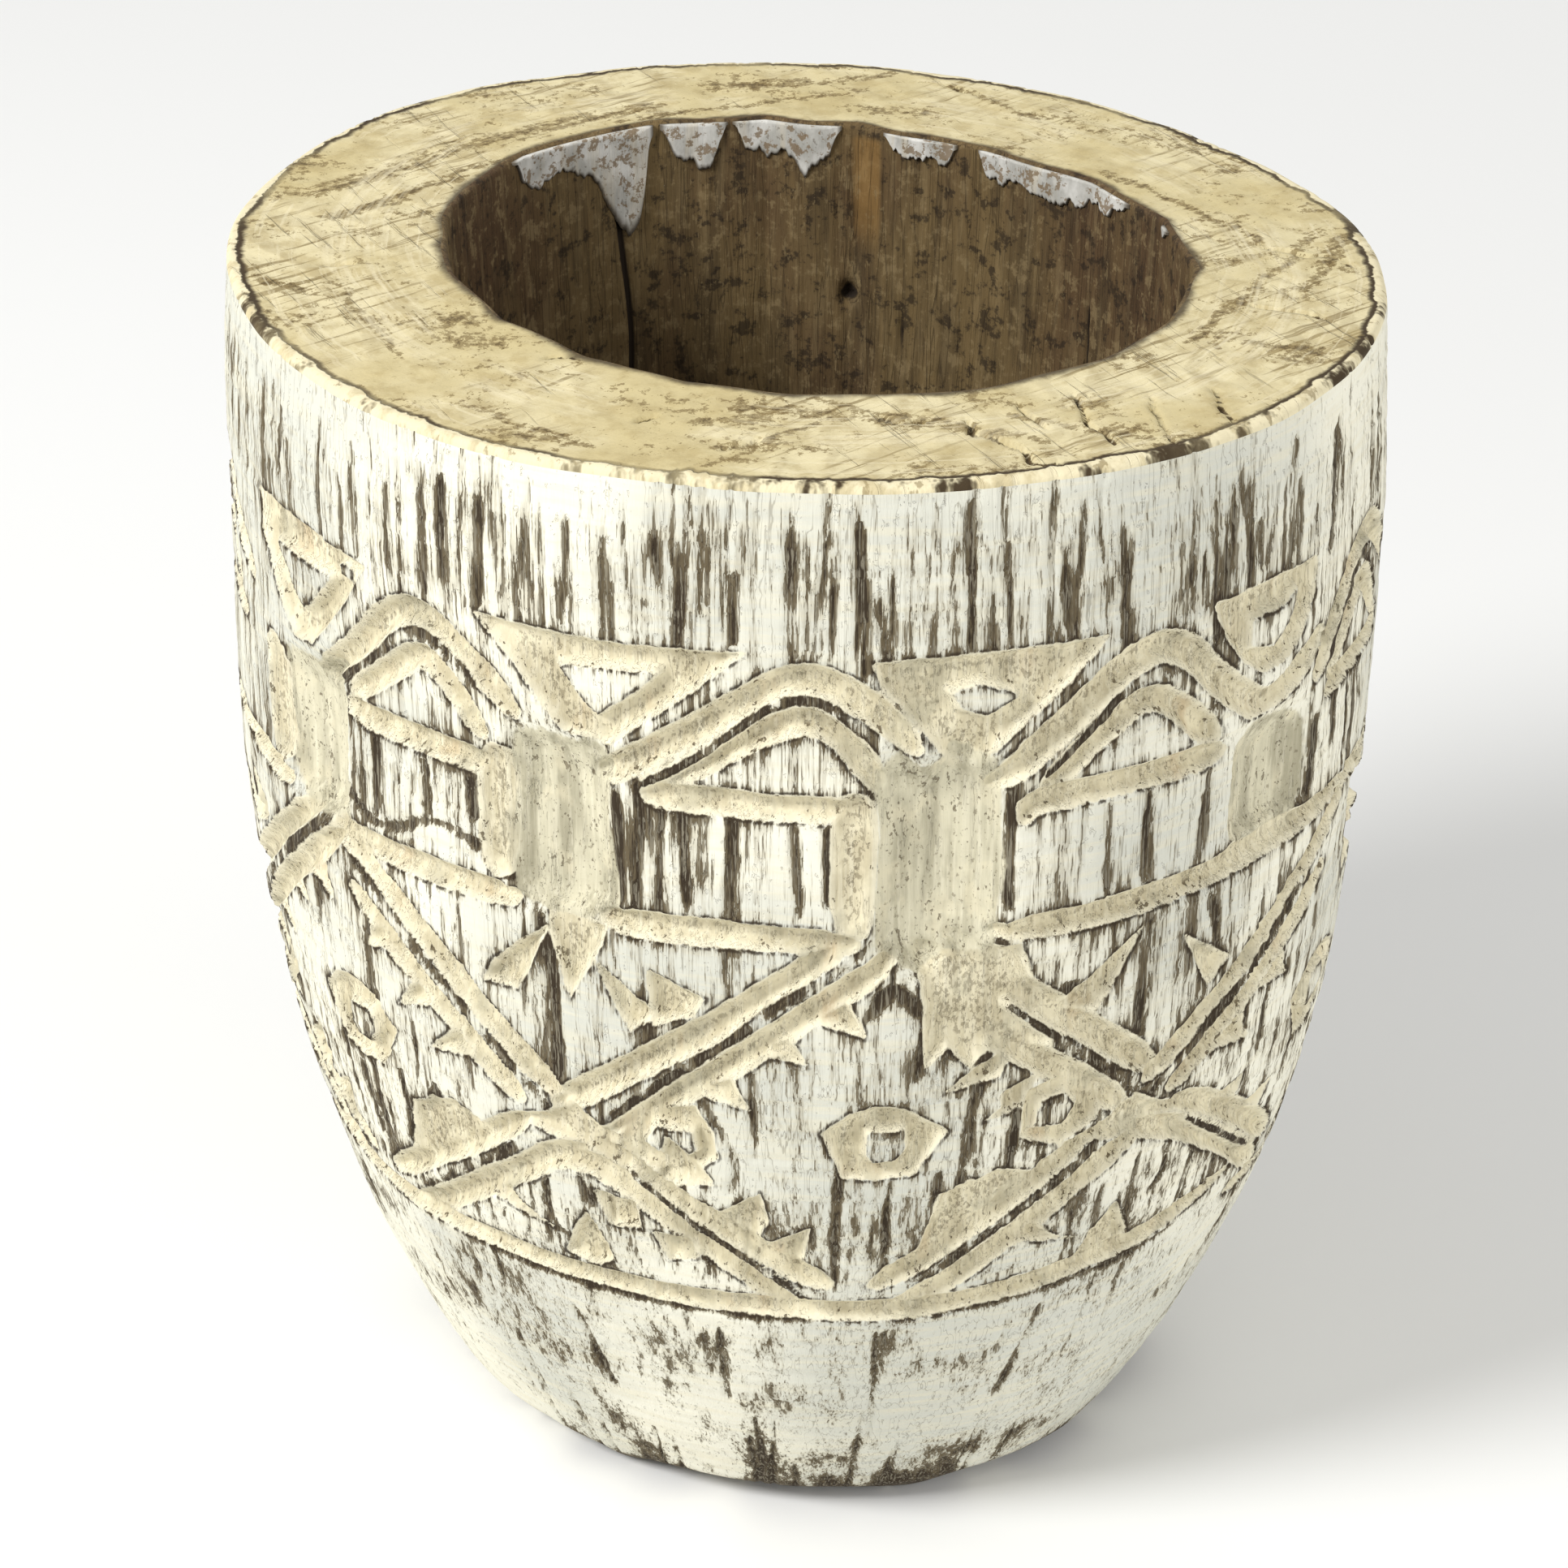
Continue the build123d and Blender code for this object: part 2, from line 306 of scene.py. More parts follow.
# the chips round each corner where two diamonds meet, and the turn of the corner they are drawn at
drawnCorner = 36.5
betweenDiamonds = (
    ((26, 219), (27.5, 228), (35, 247), (32, 228), (30.5, 220)),
    ((44, 214), (43, 219), (40, 238), (44, 229), (47, 222)),
    ((33, 118), (35, 131), (37, 139), (39, 128), (40, 120), (37.5, 115)),
    ((28, 171), (33, 176), (36.5, 183), (40, 176), (45, 171), (36.5, 165)),
)
drawnEye = 8.0  # the turn that the eye is drawn at
diamondEye = {
    "outline": ((2.4, 184), (5.2, 192), (8, 194.8), (11, 193.5), (15.7, 183.5), (12.5, 166.5),
                (8.5, 165), (4.8, 166.5)),
    "pupil": ((7.1, 175.5), (7.4, 184.5), (11, 184.5), (11.5, 178), (10.3, 172.5), (8, 172.5)),
    "legs": (((4.3, 167), (4.5, 142), (4.6, 121)), ((9.9, 165), (9.8, 146), (10.1, 124)),
             ((15.2, 168), (15.2, 152), (15, 137))),
}
# (left corner, middle, right corner, its quarters) of each diamond round the bowl
plainQuarters = ("upperLeft", "upperRight", "lowerLeft", "lowerRight")
diamonds = (
    (-25.5, 8.0, 36.5, plainQuarters),
    (36.5, 66.0, 95.0, ("upperLeftSteep", "upperRight", "lowerLeftSteep", "lowerRight")),
    (95.0, 124.5, 154.0, plainQuarters), (154.0, 184.0, 213.0, ("upperLeft", "upperRightSteep",
                                                               "lowerLeft", "lowerRight")),
    (213.0, 242.5, 271.5, plainQuarters),
    (271.5, 302.5, 334.5, ("upperLeft", "upperRightSteep", "lowerLeft", "lowerRight")),
)
lowBorder = ((-92, 110), (-75, 114), (-57, 109), (-45, 110.5), (-25, 110), (-5, 109), (13, 108),
             (22, 110.5), (30, 113), (40, 116.5), (50, 121), (56, 124))
lowBorderBack = ((58, 112), (80, 108), (110, 112), (140, 109), (175, 112), (205, 108),
                 (240, 111), (270, 109))


# Chaikin's corner cutting, to turn a few chosen points into a smooth stroke
def smoothStroke(points, rounds=2):
    line = [np.array(p, float) for p in points]
    for _ in range(rounds):
        cut = [line[0]]
        for a, b in zip(line, line[1:]):
            cut += [a * 0.75 + b * 0.25, a * 0.25 + b * 0.75]
        line = cut + [line[-1]]
    return np.array(line)


# The carving is worked out on a grid over the unrolled wall
class Wall:
    def __init__(self, turns, levels):
        self.turns, self.levels = turns, levels
        self.turn, self.level = np.meshgrid(turns, levels)
        self.cut = np.full(self.turn.shape, 25.0)  # distance to the nearest cut, below 0 inside
        self.relief = np.zeros(self.turn.shape)
        self.streak = np.zeros(self.turn.shape)
        self.scoop = np.zeros(self.turn.shape)
        ragged = cloud(self.turn, self.level, 1.6, 4.5, 31)
        broad = cloud(self.turn, self.level, 5, 15, 32)
        self.ragged = gouge["edgeWobble"] * (0.6 * ragged + 0.7 * broad)

    # the part of the grid near some points, as index arrays and local positions in millimetres
    def near(self, points, margin):
        points = np.array(points, float)
        middle = (points[:, 0].min() + points[:, 0].max()) / 2
        reach = (points[:, 0].max() - points[:, 0].min()) / 2 + margin / mmPerDegree
        away = turnsApart(self.turns, middle)
        columns = np.nonzero(np.abs(away) <= reach)[0]
        low, high = points[:, 1].min() - margin, points[:, 1].max() + margin
        rows = np.nonzero((self.levels >= low) & (self.levels <= high))[0]
        spot = np.ix_(rows, columns)
        x = np.broadcast_to((away[columns] + middle) * mmPerDegree, (len(rows), len(columns)))
        y = np.broadcast_to(self.levels[rows][:, None], x.shape)
        return spot, x, y

    def apply(self, spot, distance, depth, halfWidth):
        distance = distance + self.ragged[spot]
        inside = np.clip(-distance / halfWidth, 0, 1)
        self.cut[spot] = np.minimum(self.cut[spot], distance)
        self.relief[spot] = np.maximum(self.relief[spot], depth * (1 - (1 - inside) ** 2))

    def strokeDistance(self, line, x, y, halfWidth, taper):
        lengths = np.hypot(np.diff(line[:, 0]) * mmPerDegree, np.diff(line[:, 1]))
        along = np.concatenate([[0], np.cumsum(lengths)]) / lengths.sum()
        nearEnd = np.clip(np.minimum(along, 1 - along) / 0.1, 0, 1)
        widths = halfWidth * (taper + (1 - taper) * np.sqrt(nearEnd))
        best = np.full(x.shape, 99.0)
        line = line * (mmPerDegree, 1)
        for start, end, width, nextWidth in zip(line, line[1:], widths, widths[1:]):
            distance, share = strokeAway(x, y, start, end)
            best = np.minimum(best, distance - width * (1 - share) - nextWidth * share)
        return best

    def band(self, points, halfWidth, depth):
        line = smoothStroke(points)
        spot, x, y = self.near(line, gouge["reach"])
        self.apply(spot, self.strokeDistance(line, x, y, halfWidth, 0.35), depth, halfWidth)

    def polygonDistance(self, points, margin):
        spot, x, y = self.near(points, margin)
        corners = np.array(points, float) * (mmPerDegree, 1)
        best = np.full(x.shape, 99.0)
        inside = np.zeros(x.shape, bool)
        for (ax, ay), (bx, by) in zip(corners, np.roll(corners, -1, axis=0)):
            best = np.minimum(best, strokeAway(x, y, (ax, ay), (bx, by))[0])
            crosses = (ay > y) != (by > y)
            rise = by - ay if by != ay else 1e-9
            inside ^= crosses & (x < (bx - ax) * (y - ay) / rise + ax)
        return spot, np.where(inside, -best, best)

    def chip(self, points, depth):
        spot, distance = self.polygonDistance(points, gouge["reach"])
        self.apply(spot, distance, depth, gouge["chipSlope"])

    # an island keeps the wall's own height inside a cut
    def land(self, points):
        spot, distance = self.polygonDistance(points, 6)
        distance = distance + self.ragged[spot]
        self.cut[spot] = np.where(distance < 6, np.maximum(self.cut[spot], -distance), self.cut[spot])
        self.relief[spot] = self.relief[spot] * ease(distance, -0.3, 2.2)

    # a thin strip left standing between two grooves
    def ridge(self, points, halfWidth):
        line = smoothStroke(points)
        spot, x, y = self.near(line, 8)
        distance = self.strokeDistance(line, x, y, halfWidth, 0.3) + self.ragged[spot] * 0.6
        self.cut[spot] = np.where(distance < 5, np.maximum(self.cut[spot], -distance), self.cut[spot])
        self.relief[spot] = self.relief[spot] * ease(distance, -0.4, 1.8)
        rungs = 0.62 + 0.8 * cloud(self.turn[spot], self.level[spot], 1.5, 4, 33)
        self.streak[spot] = np.maximum(self.streak[spot], rungs * (1 - ease(distance, 0.2, 1.0)))

    def scoopFlute(self, middle, half, foot, head):
        away = turnsApart(self.turn, middle)
        wander = 0.5 * cloud(self.turn, self.level, 60, 30, int(middle) + 400)
        across = np.clip(1 - ((away + wander) / half) ** 2, 0, 1)
        uneven = self.level + 3.6 * cloud(self.turn, self.level, 3, 400, 41)
        ends = ease(uneven, foot - 3, foot + 9) * ease(-uneven, -head - 4, -head + 18)
        self.scoop = np.maximum(self.scoop, across**0.8 * ends)

    # a dark line in the streak field, used for splits and flaked wash and also for painted shadow lines
    def darkLine(self, points, half):
        line = smoothStroke(points)
        spot, x, y = self.near(line, 6)
        distance = self.strokeDistance(line, x, y, half, 0.3) + 1.6 * self.ragged[spot]
        self.streak[spot] = np.maximum(self.streak[spot], 1.15 * (1 - ease(distance, -0.9, 1.1)))

    # one dark upright streak where the wash has worn out of the grain
    def wear(self, turn, low, high, half, bend, seed):
        spot, x, y = self.near([(turn, low), (turn, high)], 6 + half)
        if not x.size:
            return
        share = np.clip((y - low) / max(high - low, 1), 0, 1)
        path = turn * mmPerDegree + bend * np.sin(share * 4 + seed)
        width = half * (0.35 + 0.65 * np.sin(np.pi * np.clip(share * 0.9 + 0.05, 0, 1)) ** 0.6)
        ends = np.minimum(ease(y, low - 3, low + 2), 1 - ease(y, high - 2, high + 3))
        value = (1 - np.abs(x - path) / (width + 0.6)) * ends
        self.streak[spot] = np.maximum(self.streak[spot], value)


def movedRound(drawn, degrees):
    return [(turn + degrees, level) for turn, level in drawn]


def carveFrieze(wall):
    for order, (middle, half, foot, head, name) in enumerate(flutes):
        unit = friezeUnits[name]
        following = flutes[(order + 1) % len(flutes)][0] + (360 if order + 1 == len(flutes) else 0)
        stretch = (following - middle) / unit["span"]

        def here(drawn):
            return [(middle + (turn - unit["middle"]) * stretch, level) for turn, level in drawn]

        wall.scoopFlute(middle, half, foot, head)
        for kind, drawn in unit["bands"].items():
            wall.band(here(drawn), gouge[kind], gouge["postDepth" if kind == "post" else "bandDepth"])
        wall.chip(here(unit["wedge"]), gouge["chipDepth"])
        for drawn in unit["strips"]:
            wall.ridge(here(drawn), gouge["strip"])
        for drawn in unit["lands"]:
            wall.land(here(drawn))
    wall.chip(pointedTail, gouge["chipDepth"])


def carveLattice(wall):
    for left, middle, right, quarters in diamonds:
        for name in quarters:
            quarter = diamondQuarters[name]
            drawnLow, drawnHigh = quarterSpan[name]
            low, high = (left, middle) if "Left" in name else (middle, right)

            def here(drawn):
                stretch = (high - low) / (drawnHigh - drawnLow)
                return [(low + (turn - drawnLow) * stretch, level) for turn, level in drawn]

            wall.band(here(quarter["outer"]), gouge["lattice"], gouge["bandDepth"])
            wall.band(here(quarter["inner"]), gouge["innerLattice"], gouge["bandDepth"])
            for drawn in quarter["thorns"]:
                wall.chip(here(drawn), gouge["chipDepth"])
            wall.ridge(here(quarter["strip"]), gouge["strip"])
            for drawn in quarter.get("lands", ()):
                wall.land(here(drawn))
        for drawn in betweenDiamonds:
            wall.chip(movedRound(drawn, right - drawnCorner), gouge["chipDepth"])
        wall.chip(movedRound(diamondEye["outline"], middle - drawnEye), gouge["chipDepth"])
        wall.land(movedRound(diamondEye["pupil"], middle - drawnEye))
    for drawn in (lowBorder, lowBorderBack):
        wall.band(drawn, gouge["border"], gouge["bandDepth"])


# Worn streaks: (lowest level, highest level, how many, shortest, longest, widest half width)
streakZones = (
    (347, 396, 210, 14, 46, 2.6), (257, 297, 100, 10, 38, 2.2), (120, 250, 260, 8, 46, 2.0),
    (6, 104, 120, 8, 50, 3.0),
)
# Single dark lines where the wood has split or the wash has flaked, and painted shadow lines along
# the steep right walls of two flutes: points and half width
darkMarksAndShadows = (
    (((-50.5, 386), (-50, 350)), 1.4), (((-38, 388), (-38.5, 350)), 1.1),
    (((-33.5, 384), (-34, 349)), 1.6), (((-24, 384), (-24.5, 349)), 1.3),
    (((-12, 378), (-12.5, 349)), 1.5), (((-7, 372), (-7, 350)), 1.8), (((-1.5, 392), (-1.2, 345)), 1.6),
    (((5.3, 388), (6, 340)), 1.8), (((15.6, 394), (16, 349)), 1.5), (((25, 372), (25.5, 349)), 1.5),
    (((30.8, 380), (31.5, 340)), 1.5), (((41, 388), (41.5, 334)), 1.6), (((51.5, 390), (51, 349)), 1.4),
    # painted shadow: the lines at turns -19.2 and 20.6 stand where a flute's steep right wall is in shade
    (((59, 385), (58, 345)), 1.5), (((-19.2, 296), (-19.4, 280), (-19, 259)), 2.6),
    (((20.6, 305), (20.3, 285), (20.6, 262)), 1.9), (((-12.5, 293), (-11.5, 262)), 1.8),
    (((-7, 293), (-6.8, 259)), 1.9), (((-0.8, 292), (0, 262)), 1.7), (((2.8, 292), (2.9, 266)), 1.6),
    (((8.4, 308), (8.3, 301)), 2.6), (((-28.6, 304), (-28.4, 287)), 1.2),
    (((-55, 268), (-51, 258), (-46, 262), (-42, 270.5), (-36, 268), (-33, 261), (-29, 257)), 1.3),
    (((-42.5, 289), (-42, 270)), 1.4), (((-36.5, 288), (-36, 276)), 1.3),
    (((-49.5, 289), (-50, 262)), 1.3), (((30.3, 293), (30.5, 262)), 1.7),
    (((34.5, 293), (34.5, 263)), 1.4), (((41.5, 293), (41.3, 262)), 1.3), (((57.3, 292), (57, 265)), 1.5),
    (((61.5, 296), (61.6, 275)), 1.3), (((65.5, 296), (65.3, 262)), 1.5),
    (((-28, 247), (-26.7, 226), (-27, 191)), 1.9),
    (((-10.3, 193), (-8.2, 182), (-6.4, 168), (-7.6, 157)), 1.6),
    (((7, 227), (9.3, 240), (12, 228)), 2.2), (((16, 224), (16, 216)), 2.2),
    (((18.6, 212), (17.3, 150)), 1.7), (((22.8, 198), (22.6, 161)), 1.2), (((12.5, 222), (12, 203)), 1.3),
    (((-4.8, 205), (-4.5, 172)), 1.1), (((42, 156), (43.2, 146), (41, 136)), 1.1),
    (((32, 150), (31, 140), (33, 131)), 1.0), (((-25.5, 152), (-24.3, 143)), 1.8),
    (((-30, 147), (-30.5, 132), (-27, 122)), 1.0), (((35.5, 250), (35.7, 205)), 2.0),
    (((43, 249), (46, 216)), 1.2), (((27, 232), (28.5, 224)), 2.0),
    (((-53, 222), (-53.5, 200), (-52, 172)), 1.5), (((-45, 168), (-44, 140)), 1.4),
    (((-60.5, 241), (-61.5, 222), (-63, 205)), 1.4), (((-58, 160), (-57.5, 132)), 1.6),
    (((54.5, 200), (55, 172)), 1.5), (((-40, 105), (-20, 104.5), (2, 103.5)), 1.0),
    (((14, 105), (34, 107), (48, 113)), 0.9), (((-9.5, 96), (-9, 60)), 1.5), (((10, 98), (11, 40)), 1.2),
    (((-30, 92), (-27, 50)), 1.6), (((30, 100), (28, 55)), 1.5),
)


def wearStreaks(wall):
    dice = np.random.default_rng(77)
    for low, high, count, shortest, longest, widest in streakZones:
        for _ in range(count):
            turn = dice.uniform(-180, 180)
            length = dice.uniform(shortest, longest)
            start = dice.uniform(low - length * 0.3, high - length * 0.7)
            chance = dice.random()
            if chance < 0.45:
                start = low  # many streaks stand on the cut below them
            elif chance < 0.65:
                start = high - length + 4  # and some hang from the edge above
            half = widest * dice.uniform(0.2, 1) ** 1.5
            wall.wear(turn, start, min(start + length, high + 4), half, dice.uniform(-1.5, 1.5),
                      dice.uniform(0, 6))
    for left, middle, right, _ in diamonds:
        # painted shade: dark lines where the thin engraved grooves between the legs under each eye lie in
        # shade
        for leg in diamondEye["legs"]:
            wall.darkLine(movedRound(leg, middle - drawnEye), 1.4)
    for drawn, half in darkMarksAndShadows:
        wall.darkLine(drawn, half)


columns = meshGrid["columns"]
turns = np.arange(columns) / columns * 360 - 180
wallTop = bowlHeight - logShape["rimRound"]
levels = np.linspace(0, wallTop, round(wallTop / meshGrid["wallStep"]) + 1)
wall = Wall(turns, levels)
carveFrieze(wall)
carveLattice(wall)
wearStreaks(wall)
print("carving laid out")


# The whole bowl is one closed skin of rings: underside, wall, rim, hollow and hollow floor
def ringPoints(turn, radius, level, middleX=0.0, middleY=0.0):
    angle = np.radians(turn)
    x = middleX + radius * np.sin(angle)
    y = middleY - radius * np.cos(angle)
    return np.stack([x, y, level + np.zeros_like(x)], axis=-1)


wallRecess = {"streak": 0.7, "brush": 0.22, "pits": 0.5}
rimCut = {"width": 62.0, "sawDepth": 0.5, "sawPitch": 13.0, "splitDepth": 2.4, "chips": 1.2}
undersideLift = 2.2

turnGrid, levelGrid = wall.turn, wall.level
wallRadius = outerRadius(turnGrid, levelGrid)
brush = cloud(turnGrid, levelGrid, 14, 2.6, 51) + 0.6 * cloud(turnGrid, levelGrid, 5, 1.9, 52)
inCut = ease(-wall.cut, -0.2, 1.4)
pits = cloud(turnGrid, levelGrid, 0.9, 2.6, 53) * cloud(turnGrid, levelGrid, 2.5, 7, 54)
wallRadius = wallRadius - wall.relief - fluteDepth * wall.scoop
wallRadius = wallRadius + wallRecess["brush"] * brush * (1 - inCut)
wallRadius = wallRadius - wallRecess["streak"] * ease(wall.streak, 0.3, 0.8)
wallRadius = wallRadius + wallRecess["pits"] * pits * np.maximum(inCut, wall.scoop)
wallSkin = ringPoints(turnGrid, wallRadius, levelGrid, logMiddle(levelGrid))

baseRing = wallSkin[0]
baseMiddle = np.array([logMiddle(0), 0, 0])
undersideShares = np.linspace(0.03, 1, meshGrid["undersideRings"])[:-1]
underside = baseMiddle + (baseRing - baseMiddle) * undersideShares[:, None, None]
undersideWave = 1 + 0.3 * np.sin(np.radians(turns * 5))
underside[..., 2] = undersideLift * (1 - undersideShares[:, None] ** 4) * undersideWave

# the rounded edge where the wall turns over into the sawn rim
topRing = wallSkin[-1]
outward = np.stack([np.sin(np.radians(turns)), -np.cos(np.radians(turns)), turns * 0], axis=-1)
roundSteps = np.radians(np.linspace(0, 90, 7)[1:])
edgeRound = logShape["rimRound"] * (1 + 0.35 * cloud(turns, turns * 0, 5, 50, 61))
chipped = rimCut["chips"] * ease(cloud(turns, turns * 0, 3, 50, 62), 0.35, 0.9)
corner = np.stack([
    topRing - outward * ((1 - np.cos(a)) * (edgeRound + chipped))[:, None]
    + np.array([0, 0, logShape["rimRound"] * math.sin(a)])
    for a in roundSteps
])
corner[..., 2] = np.minimum(corner[..., 2], bowlHeight)

mouthLevel = np.full(columns, bowlHeight)
mouthRadius = hollowRadius(turns, mouthLevel)
mouthX, mouthY = hollowShape["middle"]
lip = hollowShape["lipRound"] * (1 + 0.4 * cloud(turns, turns * 0, 6, 50, 63))
mouthEdge = ringPoints(turns, mouthRadius + lip, mouthLevel, mouthX, mouthY)
rimRings = round(rimCut["width"] / meshGrid["rimStep"])
rimShares = np.linspace(0, 1, rimRings + 1)[1:]
rimSkin = corner[-1] + (mouthEdge - corner[-1]) * rimShares[:, None, None]


# a hand-sawn and then trimmed top: shallow arcs of the saw, and drying splits that run outwards
def rimRelief(x, y):
    stray = cloud(x, y + 200, 30, 30, 93)
    saw = np.sin((y + 0.5 * x + 0.0016 * x * x + 9 * stray) * math.tau / rimCut["sawPitch"])
    dents = cloud(x * 2, y + 200, 12, 9, 94)
    return rimCut["sawDepth"] * (-0.6 + 0.25 * saw + 0.6 * dents)


# smudges and splits on the rim: start and end seen from above, half width
rimStains = (
    ((-150, 50), (-100, 95), 7), ((-104, 92), (-48, 122), 5), ((-147, 27), (-110, 60), 4),
    ((-112, 62), (-76, 88), 3), ((-60, 108), (20, 138), 2.5), ((52, 141), (80, 108), 3),
    ((98, 64), (142, 8), 3), ((160, 14), (116, -66), 3.5), ((126, 100), (170, 36), 4),
    ((-18, -112), (48, -128), 4), ((2, -107), (68, -137), 3), ((-140, -30), (-118, -78), 2.5),
    ((-96, -112), (-60, -140), 3), ((-30, -152), (6, -122), 2.5), ((60, -120), (96, -132), 3),
    ((-20, 140), (30, 150), 4), ((150, -30), (168, 10), 4), ((-165, -20), (-145, -32), 2.5),
)
rimSplits = (
    ((119, -101), (125, -144), 0.8), ((79, -107), (86, -137), 0.7), ((44, -124), (77, -160), 0.7),
    ((100, -104), (104, -140), 0.6), ((63, -112), (70, -128), 0.6), ((-143, -9), (-136, -7), 1.0),
    ((-47, -122), (-43, -119), 1.3), ((-74, -80), (-66, -78), 1.0), ((130, 100), (143, 84), 0.7),
    ((52, 141), (60, 130), 0.7), ((136, -38), (158, -52), 0.6), ((-24, -140), (-10, -132), 0.8),
    ((20, -118), (34, -124), 0.8), ((142, 6), (170, -12), 0.5),
)


def rimMarks(places, marks):
    best = np.zeros(places.shape[:-1])
    x = places[..., 0] + 2.5 * cloud(places[..., 0], places[..., 1] + 200, 9, 9, 91)
    y = places[..., 1] + 2.5 * cloud(places[..., 0], places[..., 1] + 200, 9, 9, 92)
    for start, end, half in marks:
        away, _ = strokeAway(x, y, start, end)
        best = np.maximum(best, 1 - ease(away, half * 0.3, half * 1.5))
    return best


fade = np.sin(np.pi * np.clip(rimShares, 0, 1)) ** 0.5
rimSkin[..., 2] += rimRelief(rimSkin[..., 0], rimSkin[..., 1]) * fade[:, None]
rimSkin[..., 2] -= rimCut["splitDepth"] * rimMarks(rimSkin, rimSplits) * fade[:, None]

hollowFloor = bowlHeight - hollowShape["depth"]
hollowCount = round((hollowShape["depth"] - hollowShape["floorRound"]) / meshGrid["hollowStep"])
lipSteps = np.radians(np.linspace(0, 90, 4)[1:])
lipSkin = np.stack([
    ringPoints(turns, mouthRadius + lip * (1 - math.sin(a)), bowlHeight - lip * (1 - math.cos(a)),
               mouthX, mouthY)
    for a in lipSteps
])
hollowLevels = np.linspace(bowlHeight - hollowShape["lipRound"] * 1.5,
                           hollowFloor + hollowShape["floorRound"], hollowCount)[1:]
hollowTurn, hollowLevel = np.meshgrid(turns, hollowLevels)
innerRadius = hollowRadius(hollowTurn, hollowLevel)
hollowGrain = cloud(hollowTurn, hollowLevel, 1.3, 60, 64)
innerRadius = innerRadius + 0.35 * hollowGrain * ease(bowlHeight - hollowLevel, 2, 12)

# what the hollow's wall has on it: a dark knot hole, and a bare streak of warmer brown at the back
hollowMarks = {
    "mmPerDegree": 1.8, "crackDepth": 2.2,
    "knotTurn": 172.4, "knotBelowRim": 59, "knotDepth": 4.0,
    "bareTurn": 169,
}
# drying cracks: turn, top depth, bottom depth, half width
hollowCracks = ((211.7, 8, 130, 0.7), (205.3, 0, 16, 0.5), (162.0, 62, 84, 0.6), (251, 20, 90, 0.5),
                (120, 40, 120, 0.5), (20, 30, 150, 0.6), (310, 10, 100, 0.5))
hollowCrack = np.zeros_like(hollowTurn)
depth = bowlHeight - hollowLevel
for at, top, bottom, half in hollowCracks:
    sway = 0.6 * np.sin(hollowLevel / 14)
    away = turnsApart(hollowTurn, at + sway) * hollowMarks["mmPerDegree"]
    ends = ease(depth, top - 4, top + 8) * (1 - ease(depth, bottom - 25, bottom + 5))
    gap = np.clip(1 - np.abs(away) / (half + 0.9), 0, 1) * ends
    innerRadius = innerRadius + hollowMarks["crackDepth"] * gap
    hollowCrack = np.maximum(hollowCrack, gap)
knotAcross = turnsApart(hollowTurn, hollowMarks["knotTurn"]) * hollowMarks["mmPerDegree"]
knotAway = np.hypot(knotAcross, depth - hollowMarks["knotBelowRim"])
innerRadius = innerRadius + hollowMarks["knotDepth"] * (1 - ease(knotAway, 1.5, 4.5))
hollowCrack = np.maximum(hollowCrack, 1 - ease(knotAway, 1.5, 4.0))
bareTurn = hollowMarks["bareTurn"] - 0.8 * hollowGrain
bareAway = np.abs(turnsApart(hollowTurn, bareTurn)) * hollowMarks["mmPerDegree"]
hollowBare = (1 - ease(bareAway, 3, 7)) * (1 - ease(depth, 25, 55))
hollowSkin = ringPoints(hollowTurn, innerRadius, hollowLevel, mouthX, mouthY)

lowRing = hollowSkin[-1]
floorMiddle = np.array([mouthX, mouthY, hollowFloor])
cornerAngles = np.radians(np.linspace(0, 90, meshGrid["cornerRings"])[1:])
floorRound = hollowShape["floorRound"]
floorCorner = np.stack([
    lowRing - outward * (floorRound * (1 - math.cos(a))) - np.array([0, 0, floorRound * math.sin(a)])
    for a in cornerAngles
])
floorShares = np.linspace(1, 0.03, meshGrid["floorRings"])[1:]
floorSkin = floorMiddle + (floorCorner[-1] - floorMiddle) * floorShares[:, None, None]
floorSkin[..., 2] += 0.5 * np.sin(np.radians(turns * 7)) * floorShares[:, None]

regions = [("underside", underside), ("wall", wallSkin), ("corner", corner), ("rim", rimSkin),
           ("lip", lipSkin), ("hollow", hollowSkin), ("floorCorner", floorCorner), ("floor", floorSkin)]
skin = np.concatenate([rings for _, rings in regions])
ringCount = len(skin)
ringRegion = sum(([name] * len(rings) for name, rings in regions), [])
firstRing = {name: ringRegion.index(name) for name, _ in regions}


def quadsOf(rows, count):
    index = np.arange(rows * count).reshape(rows, count)
    nextColumn = np.roll(index, -1, axis=1)
    return np.stack([index[:-1], nextColumn[:-1], nextColumn[1:], index[1:]], axis=-1).reshape(-1, 4)


def meshFromArrays(name, points, quads, triangles=()):
    mesh = bpy.data.meshes.new(name)
    triangles = np.array(triangles, np.int64).reshape(-1, 3)
    corners = np.concatenate([quads.ravel(), triangles.ravel()]).astype(np.int32)
    starts = np.concatenate([np.arange(len(quads)) * 4, len(quads) * 4 + np.arange(len(triangles)) * 3])
    mesh.vertices.add(len(points))
    mesh.vertices.foreach_set("co", np.ascontiguousarray(points, np.float32).ravel())
    mesh.loops.add(len(corners))
    mesh.loops.foreach_set("vertex_index", corners)
    mesh.polygons.add(len(starts))
    mesh.polygons.foreach_set("loop_start", starts.astype(np.int32))
    mesh.update(calc_edges=True)
    mesh.polygons.foreach_set("use_smooth", np.ones(len(starts), bool))
    return mesh


def addField(mesh, name, values):
    layer = mesh.attributes.new(name, "FLOAT", "POINT")
    layer.data.foreach_set("value", np.ascontiguousarray(values, np.float32).ravel())


def placePiece(name, mesh, materials, standsFor):
    piece = bpy.data.objects.new(name, mesh)
    bpy.context.scene.collection.objects.link(piece)
    for material in materials:
        mesh.materials.append(material)
    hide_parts(standsFor)
    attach(piece, "root")
    return piece


